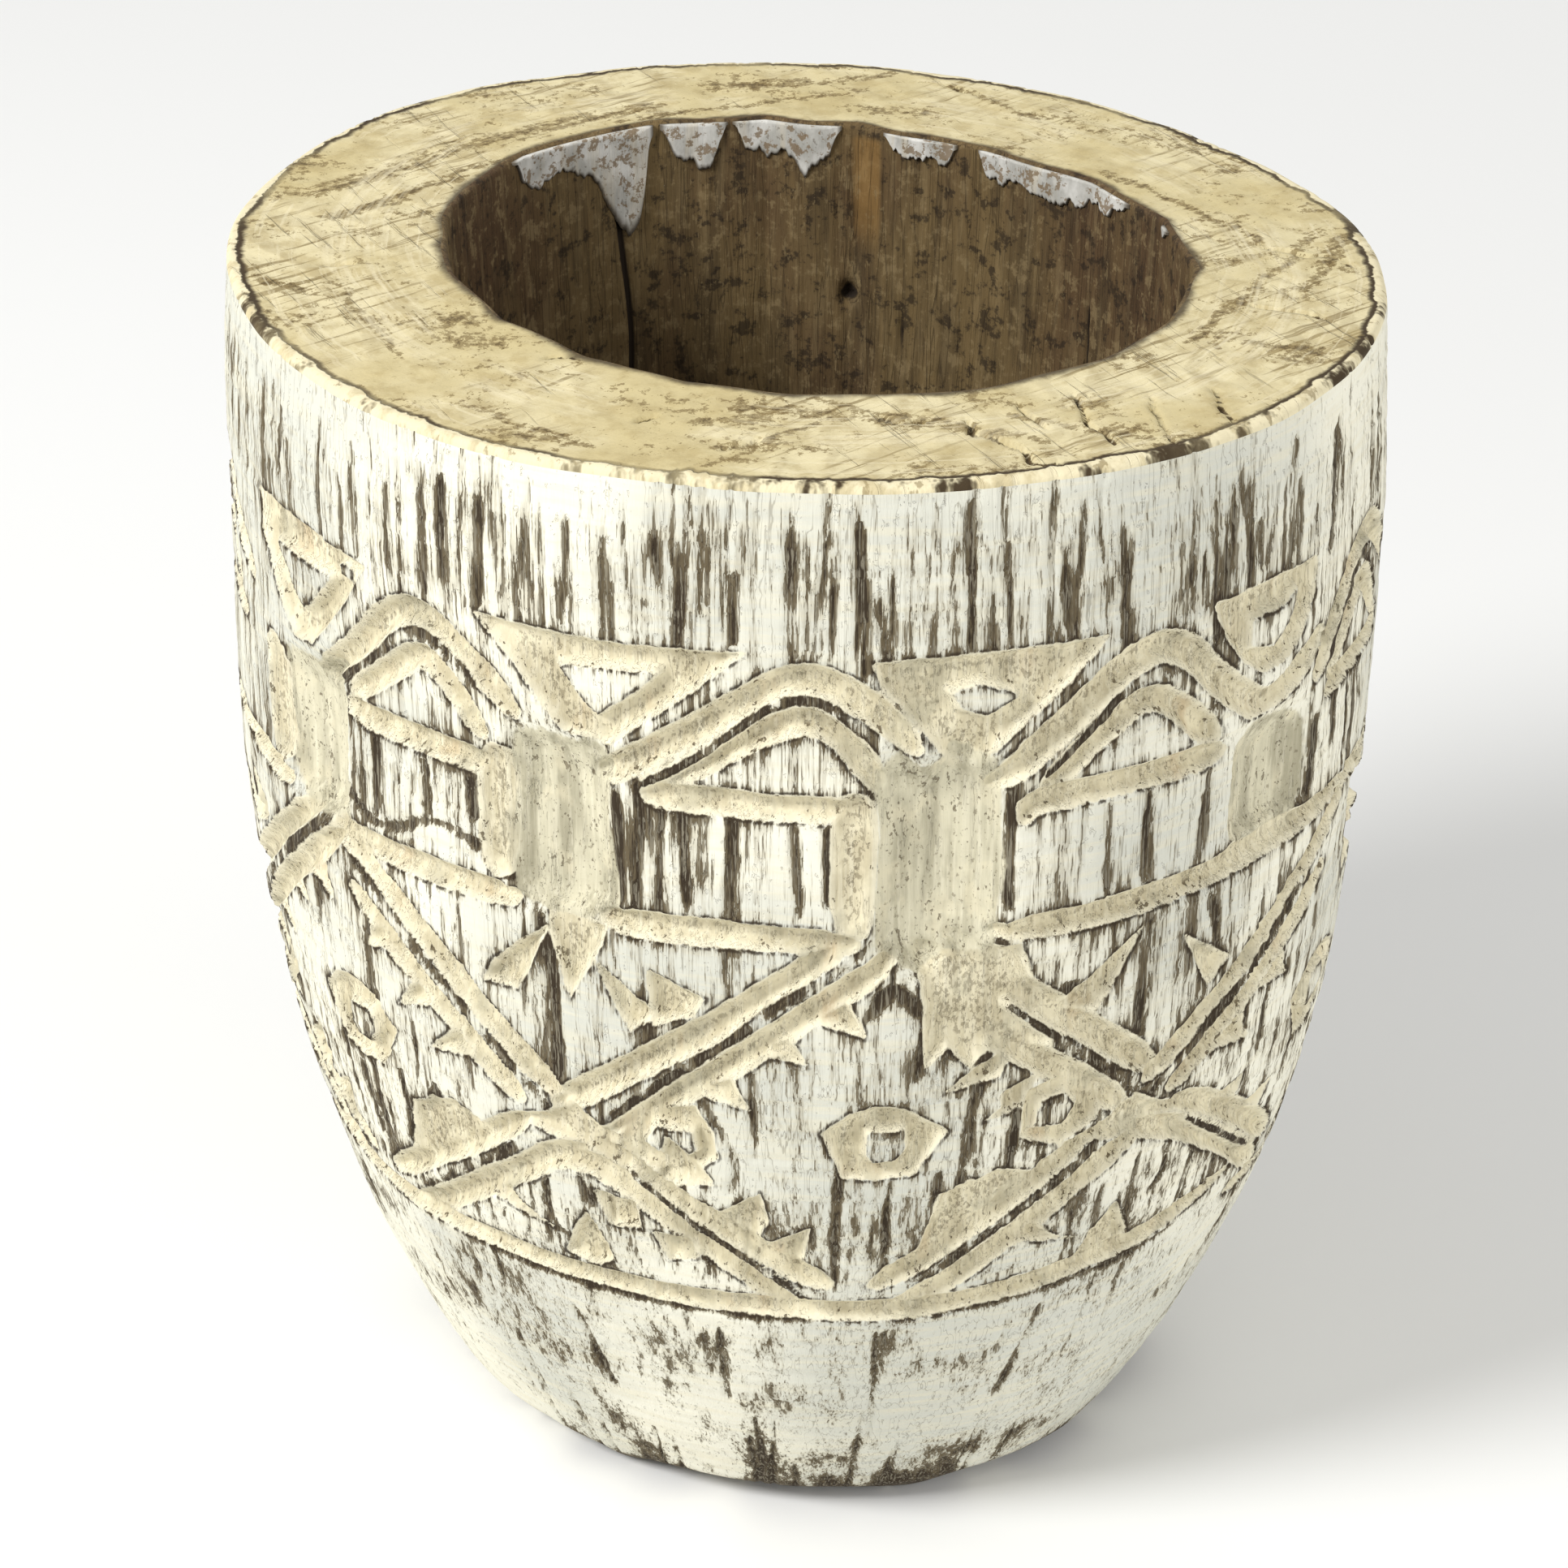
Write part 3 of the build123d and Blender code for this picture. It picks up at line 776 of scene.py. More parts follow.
points = skin.reshape(-1, 3)
quads = quadsOf(ringCount, columns)
bottomCentre, floorCentre = len(points), len(points) + 1
points = np.concatenate([points, [[*baseMiddle[:2], undersideLift], [*floorMiddle[:2], hollowFloor]]])
ringA, ringB = np.arange(columns), np.roll(np.arange(columns), -1)
lastRing = (ringCount - 1) * columns
caps = np.concatenate([
    np.stack([np.full(columns, bottomCentre), ringB, ringA], axis=-1),
    np.stack([np.full(columns, floorCentre), lastRing + ringA, lastRing + ringB], axis=-1),
])
bowlMesh = meshFromArrays("carvedBowlSkin", points * mm, quads, caps)
print("bowl skin made:", len(quads), "faces")


# Values that the materials read, one for each vertex. First how far the wash has worn: clean just
# under the rim and patchy lower down, with painted shade darkening the bottom edge.
patchy = cloud(turnGrid, levelGrid, 13, 30, 81) + 0.6 * cloud(turnGrid, levelGrid, 5, 12, 82)
cleanTop = ease(levelGrid + 6 * cloud(turnGrid, levelGrid * 0, 7, 50, 83), 374, 396)
wearAndBaseShade = 0.10 * patchy - 0.16 * cleanTop - 0.03 * ease(-levelGrid, -112, -92)
veins = cloud(turnGrid, levelGrid, 6, 13, 84) + 0.7 * cloud(turnGrid, levelGrid, 3, 24, 85)
wearAndBaseShade = wearAndBaseShade + (0.20 * veins - 0.04) * ease(-levelGrid, -104, -96)
# painted shade: darker along the bottom edge, where the rounded base turns under
wearAndBaseShade = wearAndBaseShade + 0.42 * ease(-levelGrid + 6 * patchy, -19, -4)


def ringField(rows, default):
    field = np.full((ringCount, columns), float(default))
    for name, values in rows.items():
        start = firstRing[name]
        field[start:start + len(values)] = values
    return np.concatenate([field.ravel(), [default, default]])


addField(bowlMesh, "cutDistance", ringField({"wall": wall.cut}, 25))
addField(bowlMesh, "flute", ringField({"wall": wall.scoop}, 0))
addField(bowlMesh, "streak", ringField({"wall": wall.streak}, 0))
addField(bowlMesh, "wearAndBaseShade", ringField({"wall": wearAndBaseShade}, 0))
addField(bowlMesh, "stain", ringField({"rim": rimMarks(rimSkin, rimStains)}, 0))
addField(bowlMesh, "split", ringField({"rim": rimMarks(rimSkin, rimSplits)}, 0))
addField(bowlMesh, "crack", ringField({"hollow": hollowCrack}, 0))
addField(bowlMesh, "bareStreak", ringField({"hollow": hollowBare}, 0))
acrossRim = rimShares[:, None] * rimCut["width"] + np.zeros((len(rimSkin), columns))
pastRim = np.full((len(lipSkin), columns), rimCut["width"] + 1)
addField(bowlMesh, "edgeIn", ringField({"rim": acrossRim, "lip": pastRim}, 0))
# the material of each face, by the ring that it starts from
faceSlots = {"underside": 3, "wall": 0, "corner": 1, "rim": 1, "lip": 2, "hollow": 2,
             "floorCorner": 2, "floor": 2}
slotOfRing = np.array([faceSlots[name] for name in ringRegion])
quadSlots = np.repeat(slotOfRing[1:], columns)
allSlots = np.concatenate([quadSlots, np.full(columns, 3), np.full(columns, 2)])

# Where each face lies on the baking map: wall and hollow unrolled, the rest seen flat
mapLayout = {
    "wall": {"kind": "unrolled", "corner": (0.004, 0.605), "size": (0.992, 0.39), "levels": (0, 400)},
    "hollow": {"kind": "unrolled", "corner": (0.004, 0.315), "size": (0.64, 0.275), "levels": (130, 400)},
    "rim": {"kind": "flat", "middle": (0.83, 0.43), "perMm": 1 / 1120},
    "underside": {"kind": "flat", "middle": (0.12, 0.14), "perMm": 1 / 1120},
    "floor": {"kind": "flat", "middle": (0.40, 0.14), "perMm": 1 / 1120},
}
mapOfRegion = {"underside": "underside", "wall": "wall", "corner": "rim", "rim": "rim", "lip": "rim",
               "hollow": "hollow", "floorCorner": "floor", "floor": "floor"}


def mapPlaces(region, columnShare, places):
    layout = mapLayout[mapOfRegion[region]]
    if layout["kind"] == "unrolled":
        low, high = layout["levels"]
        share = np.clip((places[..., 2] - low) / (high - low), 0, 1)
        return np.stack([layout["corner"][0] + columnShare * layout["size"][0],
                         layout["corner"][1] + share * layout["size"][1]], axis=-1)
    return np.stack([layout["middle"][0] + places[..., 0] * layout["perMm"],
                     layout["middle"][1] + places[..., 1] * layout["perMm"]], axis=-1)


loopPlaces = []
for i in range(1, ringCount):
    pair = skin[i - 1], np.roll(skin[i - 1], -1, axis=0), np.roll(skin[i], -1, axis=0), skin[i]
    shares = [(np.arange(columns) + step) / columns for step in (0, 1, 1, 0)]
    corners = [mapPlaces(ringRegion[i], share, ring) for share, ring in zip(shares, pair)]
    loopPlaces.append(np.stack(corners, axis=1).reshape(-1, 2))
for region, middle, order in (("underside", baseMiddle, (1, 0)), ("floor", floorMiddle, (0, 1))):
    ring = skin[0] if region == "underside" else skin[-1]
    around = [ring, np.roll(ring, -1, axis=0)]
    corners = [np.broadcast_to(middle, ring.shape), around[order[0]], around[order[1]]]
    places = [mapPlaces(region, np.zeros(columns), c) for c in corners]
    loopPlaces.append(np.stack(places, axis=1).reshape(-1, 2))
mapLayer = bowlMesh.uv_layers.new(name="OFBake")
mapLayer.data.foreach_set("uv", np.concatenate(loopPlaces).astype(np.float32).ravel())
bowlMesh.polygons.foreach_set("material_index", allSlots.astype(np.int32))
bowlMesh.validate(verbose=False)
print("skin mapped")


# A socket that can be used in sums, so that a material reads like arithmetic. What it is combined
# with may be a number or another of its kind.
class Value:
    def __init__(self, socket):
        self.socket = socket
        self.tree = socket.id_data

    def maths(self, operation, first, second=0.0):
        return addNode(self.tree, "ShaderNodeMath", {0: first, 1: second}, operation=operation)

    def __add__(self, other):
        return self.maths("ADD", self, other)

    def __sub__(self, other):
        return self.maths("SUBTRACT", self, other)

    def __rsub__(self, other):
        return self.maths("SUBTRACT", other, self)

    def __mul__(self, other):
        return self.maths("MULTIPLY", self, other)

    def larger(self, other):
        return self.maths("MAXIMUM", self, other)

    def absolute(self):
        return self.maths("ABSOLUTE", self)

    # from bottom to top, smoothly, as the value goes from low to high
    def ramp(self, low, high, top=1.0, bottom=0.0):
        values = {0: self, 1: low, 2: high, 3: bottom, 4: top}
        return addNode(self.tree, "ShaderNodeMapRange", values, interpolation_type="SMOOTHSTEP")

    def scaled(self, factor):
        return addNode(self.tree, "ShaderNodeVectorMath", {0: self, 3: factor}, operation="SCALE")

    def stretched(self, x, y, z):
        return addNode(self.tree, "ShaderNodeMapping", {"Vector": self, "Scale": (x, y, z)})

    def noise(self, scale, detail=3.0, rough=0.55):
        values = {"Vector": self, "Scale": scale, "Detail": detail, "Roughness": rough}
        return addNode(self.tree, "ShaderNodeTexNoise", values, "Fac")

    def rings(self, values):
        return addNode(self.tree, "ShaderNodeTexWave", {"Vector": self, **values}, "Fac",
                       wave_type="RINGS", rings_direction="Z")


def setInputs(tree, node, values):
    for key, value in values.items():
        if isinstance(value, Value):
            tree.links.new(value.socket, node.inputs[key])
        else:
            node.inputs[key].default_value = value


def addNode(tree, kind, values=None, output=0, **settings):
    made = tree.nodes.new(kind)
    for key, value in settings.items():
        setattr(made, key, value)
    setInputs(tree, made, values or {})
    return Value(made.outputs[output])


# one colour laid over another: none of it at share 0, all of it at share 1
def mix(share, under, over):
    return addNode(share.tree, "ShaderNodeMix", {0: share, 6: under, 7: over}, 2, data_type="RGBA")


def fieldValue(tree, name):
    return addNode(tree, "ShaderNodeAttribute", output="Fac", attribute_name=name)


def colour(red, green, blue):
    tone = [c / 255 for c in (red, green, blue)]
    return tuple(c / 12.92 if c <= 0.04045 else ((c + 0.055) / 1.055) ** 2.4 for c in tone) + (1.0,)


# A node group that takes a place and some numbers, and gives back numbers
def makeGroup(name, numbers, results):
    group = bpy.data.node_groups.new(name, "ShaderNodeTree")
    group.interface.new_socket("Place", in_out="INPUT", socket_type="NodeSocketVector")
    for label, start in numbers.items():
        made = group.interface.new_socket(label, in_out="INPUT", socket_type="NodeSocketFloat")
        made.default_value = start
    for label in results:
        group.interface.new_socket(label, in_out="OUTPUT", socket_type="NodeSocketFloat")
    sockets = group.nodes.new("NodeGroupInput").outputs
    return group, {label: Value(sockets[label]) for label in ("Place", *numbers)}


def giveBack(group, values):
    setInputs(group, group.nodes.new("NodeGroupOutput"), values)


def useGroup(tree, group, values):
    made = tree.nodes.new("ShaderNodeGroup")
    made.node_tree = group
    setInputs(tree, made, values)
    return {socket.name: Value(socket) for socket in made.outputs}


# Upright grain of the log: broad streaks, fine fibres and short dark hairlines
grainGroup, given = makeGroup("uprightGrain", {"Scale": 1.0}, ("Streaks", "Fibres", "Hairlines"))
scaled = given["Place"].scaled(given["Scale"])
broadStreaks = scaled.stretched(130, 130, 13).noise(1.0, 4.0, 0.6)
fineFibres = scaled.stretched(620, 620, 24).noise(1.0, 3.0, 0.6)
hairNoise = scaled.stretched(330, 330, 8).noise(1.0, 2.0, 0.5)
hairDistance = (hairNoise - 0.5).absolute()
hairlines = hairDistance.ramp(0.004, 0.016, 0.0, 1.0)
giveBack(grainGroup, {"Streaks": broadStreaks, "Fibres": fineFibres, "Hairlines": hairlines})

# Small dark pits and crumbs
pitGroup, given = makeGroup("toolPits", {"Scale": 1.0, "Amount": 0.5}, ("Pits", "Mottle"))
scaled = given["Place"].scaled(given["Scale"])
pitNoise = scaled.stretched(560, 560, 300).noise(1.0, 3.0, 0.65)
mottle = scaled.stretched(110, 110, 70).noise(1.0, 4.0, 0.6)
pitLevel = mottle * 0.3 + pitNoise * 0.7
threshold = 0.66 - given["Amount"] * 0.14
giveBack(pitGroup, {"Pits": (pitLevel - threshold).ramp(0.0, 0.03), "Mottle": mottle})

# A ragged edge for a painted or cut border: a signed distance in millimetres becomes a mask
raggedGroup, given = makeGroup(
    "raggedEdge", {"Distance": 0.0, "Raggedness": 1.0, "Softness": 0.3}, ("Mask", "Distance"))
tear = given["Place"].stretched(420, 420, 150).noise(1.0, 4.0, 0.65) - 0.5
torn = given["Distance"] + tear * 5.0 * given["Raggedness"]
mask = torn.ramp(given["Softness"] * -1.0, given["Softness"], 0.0, 1.0)
giveBack(raggedGroup, {"Mask": mask, "Distance": torn})
print("shader groups built")


def startMaterial(name, roughness):
    material = bpy.data.materials.new(name)
    material.use_nodes = True
    tree = material.node_tree
    shader = tree.nodes["Principled BSDF"]
    shader.inputs["Roughness"].default_value = roughness
    shader.inputs["Specular IOR Level"].default_value = 0.25
    place = addNode(tree, "ShaderNodeTexCoord", output="Object")
    return material, tree, shader, place


# bumpDepth is in metres
def finishMaterial(tree, shader, baseColour, height, bumpDepth):
    bump = addNode(tree, "ShaderNodeBump", {"Height": height, "Strength": 1.0, "Distance": bumpDepth})
    setInputs(tree, shader, {"Base Color": baseColour, "Normal": bump})


wallLook = {
    "wash": colour(234, 231, 214), "washCool": colour(204, 204, 192), "washCream": colour(226, 218, 190),
    "rubbed": colour(170, 163, 142), "darkWood": colour(98, 87, 66), "woodCoreAndEdgeShadow": colour(54, 44, 31),
    "cream": colour(220, 211, 181), "creamDeep": colour(194, 184, 154), "rust": colour(190, 160, 118),
    "fluteTone": colour(206, 200, 174), "fluteShade": colour(170, 164, 140),
    "pit": colour(98, 85, 62), "paleFibreAndHighlight": colour(238, 232, 208),
}


def makeWallMaterial():
    look = wallLook
    material, t, shader, place = startMaterial("whitewashedWall", 0.86)
    grain = useGroup(t, grainGroup, {"Place": place, "Scale": 1.0})
    fine = useGroup(t, grainGroup, {"Place": place, "Scale": 2.3})
    pits = useGroup(t, pitGroup, {"Place": place, "Scale": 1.0, "Amount": 0.45})
    distance = fieldValue(t, "cutDistance")
    cutEdge = useGroup(t, raggedGroup, {"Place": place, "Distance": distance, "Raggedness": 0.4,
                                        "Softness": 0.3})
    patches = place.noise(9.0, 3.0, 0.5)
    # wash, thicker in places
    wash = mix(patches.ramp(0.38, 0.62), look["wash"], look["washCool"])
    brushMarks = place.stretched(40, 40, 420).noise(1.0, 3.0, 0.55)
    wash = mix(brushMarks.ramp(0.42, 0.68) * 0.4, wash, look["washCream"])
    # worn wood shows in upright streaks, most of all on thin lands and above and below the cuts.
    # The streak field also carries painted shadow lines, and the bias painted shade at the bottom edge
    nearCut = distance.ramp(0.3, 4.2, 0.0, 1.0)
    level = grain["Streaks"] * 0.55 + fine["Streaks"] * 0.95 + grain["Fibres"] * 0.5
    level = level + fine["Fibres"] * 0.6 + fieldValue(t, "streak") * 0.3 + nearCut * 0.13
    level = level + fieldValue(t, "wearAndBaseShade")
    rubbed = level.ramp(1.25, 1.46)
    worn = level.ramp(1.455, 1.485)
    core = level.ramp(1.54, 1.68)
    dark = mix(core, look["darkWood"], look["woodCoreAndEdgeShadow"])
    dark = mix(fine["Fibres"].ramp(0.5, 0.62) * 0.45, dark, look["rubbed"])
    upright = mix(rubbed * 0.6, wash, look["rubbed"])
    upright = mix(fine["Fibres"].ramp(0.56, 0.66) * rubbed, upright, look["darkWood"])
    upright = mix(worn, upright, dark)
    hair = grain["Hairlines"] * patches.ramp(0.42, 0.58, 0.45)
    upright = mix(hair, upright, look["darkWood"])
    # freshly cut wood
    cut = mix(pits["Mottle"].ramp(0.38, 0.62), look["cream"], look["creamDeep"])
    rusty = place.stretched(60, 60, 25).noise(1.0, 3.0, 0.6)
    cut = mix(rusty.ramp(0.58, 0.74) * 0.4, cut, look["rust"])
    cut = mix(grain["Fibres"].ramp(0.45, 0.7) * 0.4, cut, look["paleFibreAndHighlight"])
    # painted highlight: the cut is lightened along its shoulders, next to the edge
    shoulder = cutEdge["Distance"].ramp(-2.4, -0.3)
    cut = mix(shoulder * 0.5, cut, look["paleFibreAndHighlight"])
    deep = distance.ramp(-3.6, -2.2, 0.9, 0.25)
    cut = mix(pits["Pits"] * deep, cut, look["pit"])
    # broken dark line where the gouge ran deepest
    crumbs = place.stretched(900, 900, 500).noise(1.0, 3.0, 0.6)
    lowest = cutEdge["Distance"].ramp(-4.8, -3.5, 0.0, 1.0) * crumbs.ramp(0.5, 0.58)
    cut = mix(lowest * 0.5, cut, look["pit"])
    shade = place.stretched(75, 75, 55).noise(1.0, 4.0, 0.6)
    cut = mix(shade.ramp(0.52, 0.68, 0.55), cut, look["fluteShade"])
    # flutes
    flute = fieldValue(t, "flute")
    fluteColour = mix(grain["Streaks"].ramp(0.4, 0.6), look["fluteTone"], look["fluteShade"])
    fluteColour = mix(grain["Fibres"].ramp(0.45, 0.7) * 0.35, fluteColour, look["paleFibreAndHighlight"])
    fluteColour = mix(shade.ramp(0.36, 0.5, 0.0, 0.5), fluteColour, look["cream"])
    fluteColour = mix(pits["Pits"] * 0.7, fluteColour, look["pit"])
    fluteColour = mix(crumbs.ramp(0.6, 0.66) * 0.5, fluteColour, look["pit"])
    brokenEdge = fine["Streaks"] * 0.35 + shade * 0.5
    inFlute = (flute + brokenEdge).ramp(0.62, 0.74)
    surface = mix(cutEdge["Mask"], upright, cut)
    surface = mix(inFlute, surface, fluteColour)
    # painted shadow: a dark line just outside the cuts, broken by the grain
    edgeShadowBand = cutEdge["Distance"].ramp(0.0, 0.3) * cutEdge["Distance"].ramp(0.6, 1.5, 0.0, 1.0)
    edgeShadowShare = edgeShadowBand * fine["Streaks"].ramp(0.42, 0.54, 0.9)
    surface = mix(edgeShadowShare * inFlute.ramp(0.2, 0.6, 0.0, 1.0), surface, look["woodCoreAndEdgeShadow"])
    height = grain["Fibres"] * 0.5 + brushMarks * 0.3 - worn * 0.45 - pits["Pits"] * 0.5
    setInputs(t, shader, {"Roughness": worn.ramp(0.0, 1.0, 0.9, 0.8)})
    finishMaterial(t, shader, surface, height, 0.0006)
    return material


rimLook = {
    "tan": colour(199, 184, 138), "pale": colour(217, 205, 165), "deepTan": colour(174, 156, 109),
    "stain": colour(128, 109, 69), "deep": colour(84, 68, 41), "cream": colour(226, 215, 180),
    "line": colour(66, 53, 34),
}


def makeRimMaterial():
    look = rimLook
    material, t, shader, place = startMaterial("sawnRim", 0.8)
    pits = useGroup(t, pitGroup, {"Place": place, "Scale": 0.8, "Amount": 0.35})
    flat = place.stretched(1, 1, 0.05)
    clouds = flat.noise(16.0, 4.0, 0.6)
    small = flat.noise(120.0, 4.0, 0.65)
    surface = mix(clouds.ramp(0.36, 0.62), look["tan"], look["pale"])
    surface = mix(small.ramp(0.45, 0.65) * 0.5, surface, look["deepTan"])

    def scratches(direction, scale):
        turned = (0, 0, -math.radians(direction))
        placed = addNode(t, "ShaderNodeMapping", {"Vector": flat, "Rotation": turned})
        return placed.stretched(*scale).noise(1.0, 4.0, 0.6)

    # long shallow arcs of the saw, then steeper scratches and crossing cuts
    sawCentre = addNode(t, "ShaderNodeMapping", {"Vector": flat, "Location": (0.28, 0.10, 0)})
    arcs = sawCentre.rings({"Scale": 21.0, "Distortion": 5.0, "Detail": 5.0, "Detail Scale": 2.2})
    arcMask = arcs.ramp(0.66, 0.95) * clouds.ramp(0.44, 0.6)
    surface = mix(arcMask * 0.22, surface, look["stain"])
    longScratch = scratches(38, (16, 330, 1))
    lined = longScratch.ramp(0.55, 0.62) * clouds.ramp(0.42, 0.6, 0.75)
    surface = mix(lined, surface, look["stain"])
    hazy = flat.noise(38.0, 5.0, 0.65)
    surface = mix(hazy.ramp(0.5, 0.68, 0.45), surface, look["deepTan"])
    specks = flat.stretched(300, 300, 1).noise(1.0, 5.0, 0.75)
    patch = flat.stretched(26, 48, 1).noise(1.0, 3.0, 0.6)
    speckled = specks + (patch - 0.5) * 1.1
    surface = mix(speckled.ramp(0.615, 0.64, 0.75), surface, look["stain"])
    surface = mix(speckled.ramp(0.72, 0.74, 0.7), surface, look["deep"])
    crossing = scratches(-62, (20, 280, 1))
    crossed = crossing.ramp(0.58, 0.7) * clouds.ramp(0.46, 0.58)
    surface = mix(crossed * 0.3, surface, look["stain"])
    surface = mix(pits["Pits"] * 0.45, surface, look["stain"])
    # smudges and splits placed one by one from the lists
    dryBrush = (specks - 0.5) * 3.4 + (longScratch - 0.5) * 2.0
    stained = fieldValue(t, "stain") + dryBrush
    surface = mix(stained.ramp(0.72, 0.86, 0.75), surface, look["stain"])
    surface = mix(stained.ramp(1.15, 1.3, 0.7), surface, look["deep"])
    split = fieldValue(t, "split") + (small - 0.5) * 1.6
    splitMask = split.ramp(0.5, 0.75)
    surface = mix(splitMask, surface, look["deep"])
    # trimmed outer edge: cream round, a dark ragged line inside it and another round the mouth
    across = fieldValue(t, "edgeIn")
    wander = flat.noise(70.0, 4.0, 0.65) - 0.5
    shifted = across + wander * 7.0
    outer = shifted.ramp(0.2, 1.2, 0.0, 1.0)
    concentric = addNode(t, "ShaderNodeCombineXYZ", {"X": across * 0.32, "Y": clouds * 3.0})
    sweep = concentric.noise(1.0, 3.0, 0.6).ramp(0.52, 0.68) * clouds.ramp(0.4, 0.6, 0.7)
    surface = mix(sweep, surface, look["cream"])
    edgeTone = mix(small.ramp(0.5, 0.66, 0.5), look["cream"], look["deepTan"])
    upright = useGroup(t, grainGroup, {"Place": place, "Scale": 1.6})
    edgeTone = mix(upright["Streaks"].ramp(0.6, 0.66, 0.6), edgeTone, look["stain"])
    surface = mix(outer, surface, edgeTone)
    lineMask = shifted.ramp(0.2, 0.9) * shifted.ramp(1.5, 3.4, 0.0, 1.0)
    brokenLine = lineMask * clouds.ramp(0.36, 0.54, 1.0, 0.45)
    surface = mix(brokenLine, surface, look["line"])
    mouthLine = shifted.ramp(58.6, 62.4)
    surface = mix(mouthLine * 0.9, surface, look["line"])
    dents = lineMask.larger(crossed).larger(splitMask)
    height = longScratch * 0.8 + small * 0.6 + arcs * 0.25 - dents * 0.6
    finishMaterial(t, shader, surface, height, 0.0009)
    return material


hollowLook = {
    "brown": colour(84, 64, 42), "olive": colour(112, 93, 60), "dark": colour(40, 31, 21),
    "pale": colour(140, 121, 86), "bare": colour(146, 112, 62),
}


def makeHollowMaterial():
    look = hollowLook
    material, t, shader, place = startMaterial("darkHollow", 0.82)
    grain = useGroup(t, grainGroup, {"Place": place, "Scale": 0.8})
    fine = useGroup(t, grainGroup, {"Place": place, "Scale": 2.2})
    pits = useGroup(t, pitGroup, {"Place": place, "Scale": 0.8, "Amount": 0.5})
    clouds = place.stretched(14, 14, 5).noise(1.0, 4.0, 0.6)
    surface = mix(clouds.ramp(0.38, 0.6), look["brown"], look["olive"])
    surface = mix(grain["Streaks"].ramp(0.44, 0.66) * 0.45, surface, look["dark"])
    surface = mix(fine["Streaks"].ramp(0.5, 0.66) * 0.3, surface, look["pale"])
    blotches = place.noise(130.0, 5.0, 0.7)
    surface = mix(blotches.ramp(0.53, 0.62, 0.75), surface, look["dark"])
    surface = mix(blotches.ramp(0.36, 0.45, 0.0, 0.55), surface, look["pale"])
    surface = mix(fieldValue(t, "bareStreak").ramp(0.2, 1.1, 0.6), surface, look["bare"])
    surface = mix(fine["Fibres"].ramp(0.52, 0.68) * 0.3, surface, look["dark"])
    surface = mix(grain["Hairlines"] * 0.3, surface, look["dark"])
    surface = mix(pits["Pits"] * 0.4, surface, look["pale"])
    surface = mix(fieldValue(t, "crack").ramp(0.25, 0.6), surface, look["dark"])
    height = grain["Fibres"] + fine["Fibres"] * 0.5 - grain["Hairlines"] * 0.3
    finishMaterial(t, shader, surface, height, 0.0005)
    return material


crustLook = {
    "white": colour(214, 212, 205), "grey": colour(170, 168, 160), "warm": colour(196, 186, 164),
    "edge": colour(84, 72, 54), "grime": colour(120, 98, 68),
}


def makeCrustMaterial():
    look = crustLook
    material, t, shader, place = startMaterial("limewashCrust", 0.92)
    pits = useGroup(t, pitGroup, {"Place": place, "Scale": 0.9, "Amount": 0.45})
    grain = useGroup(t, grainGroup, {"Place": place, "Scale": 0.9})
    surface = mix(pits["Mottle"].ramp(0.35, 0.65), look["white"], look["grey"])
    surface = mix(grain["Streaks"].ramp(0.5, 0.65) * 0.6, surface, look["warm"])
    surface = mix(pits["Pits"] * 0.5, surface, look["edge"])
    rimShare = fieldValue(t, "flakeEdge").ramp(0.0, 0.16, 0.0, 1.0)
    surface = mix(rimShare * 0.85, surface, look["edge"])
    grime = place.noise(260.0, 4.0, 0.7)
    nearEdge = fieldValue(t, "flakeEdge").ramp(0.0, 0.3, 0.1, 0.0)
    surface = mix((grime + nearEdge).ramp(0.62, 0.68, 0.8), surface, look["grime"])
    height = pits["Mottle"] * 0.8 + grain["Fibres"] * 0.4
    finishMaterial(t, shader, surface, height, 0.0008)
    return material


baseLook = {"wood": colour(128, 108, 78), "worn": colour(168, 148, 112), "dark": colour(70, 58, 42)}


def makeBaseMaterial():
    look = baseLook
    material, t, shader, place = startMaterial("rawBase", 0.85)
    pits = useGroup(t, pitGroup, {"Place": place, "Scale": 0.8, "Amount": 0.5})
    rings = place.stretched(1, 1, 0.02).rings({"Scale": 26.0, "Distortion": 4.0, "Detail": 3.0})
    surface = mix(rings, look["wood"], look["worn"])
    surface = mix(pits["Pits"] * 0.7, surface, look["dark"])
    height = rings * 0.4 + pits["Mottle"] * 0.6
    finishMaterial(t, shader, surface, height, 0.0008)
    return material


wallMaterial = makeWallMaterial()
rimMaterial = makeRimMaterial()
hollowMaterial = makeHollowMaterial()
crustMaterial = makeCrustMaterial()
baseMaterial = makeBaseMaterial()
bowl = placePiece("carvedBowl", bowlMesh, [wallMaterial, rimMaterial, hollowMaterial, baseMaterial],
                  "carved_bowl")
print("bowl placed")

# Flakes of old limewash left hanging on the hollow's wall below the mouth: (turn, depth below rim)
crust = {
    "limewash_crust_left": ((233, 4), (228, 15), (221, 9), (215, 20), (210.5, 41), (208, 24), (206, 10)),
    "limewash_crust_back_left": ((205, 6), (201.5, 13), (197, 17), (193.8, 7)),
    "limewash_crust_back": ((193, 7), (188, 12), (183, 11), (180.8, 23), (178.5, 12), (174, 8)),
    "limewash_crust_back_right": ((166, 4), (161, 9), (155, 6), (151, 8)),
    "limewash_crust_right": ((146.5, 5), (144, 11), (137, 9), (128, 11), (119, 8), (110, 6)),
    "limewash_chip_right": ((100.5, 2.5), (98.8, 6), (97.2, 2.5)),
}
crustSize = {
    "thickness": 1.1, "topDepth": 0.9, "step": 0.25, "rows": 14, "ragged": 2.2, "soften": 7,
    "taper": 2.5, "shortest": 1.8, "sunkIn": 0.8, "clear": 0.15,
}


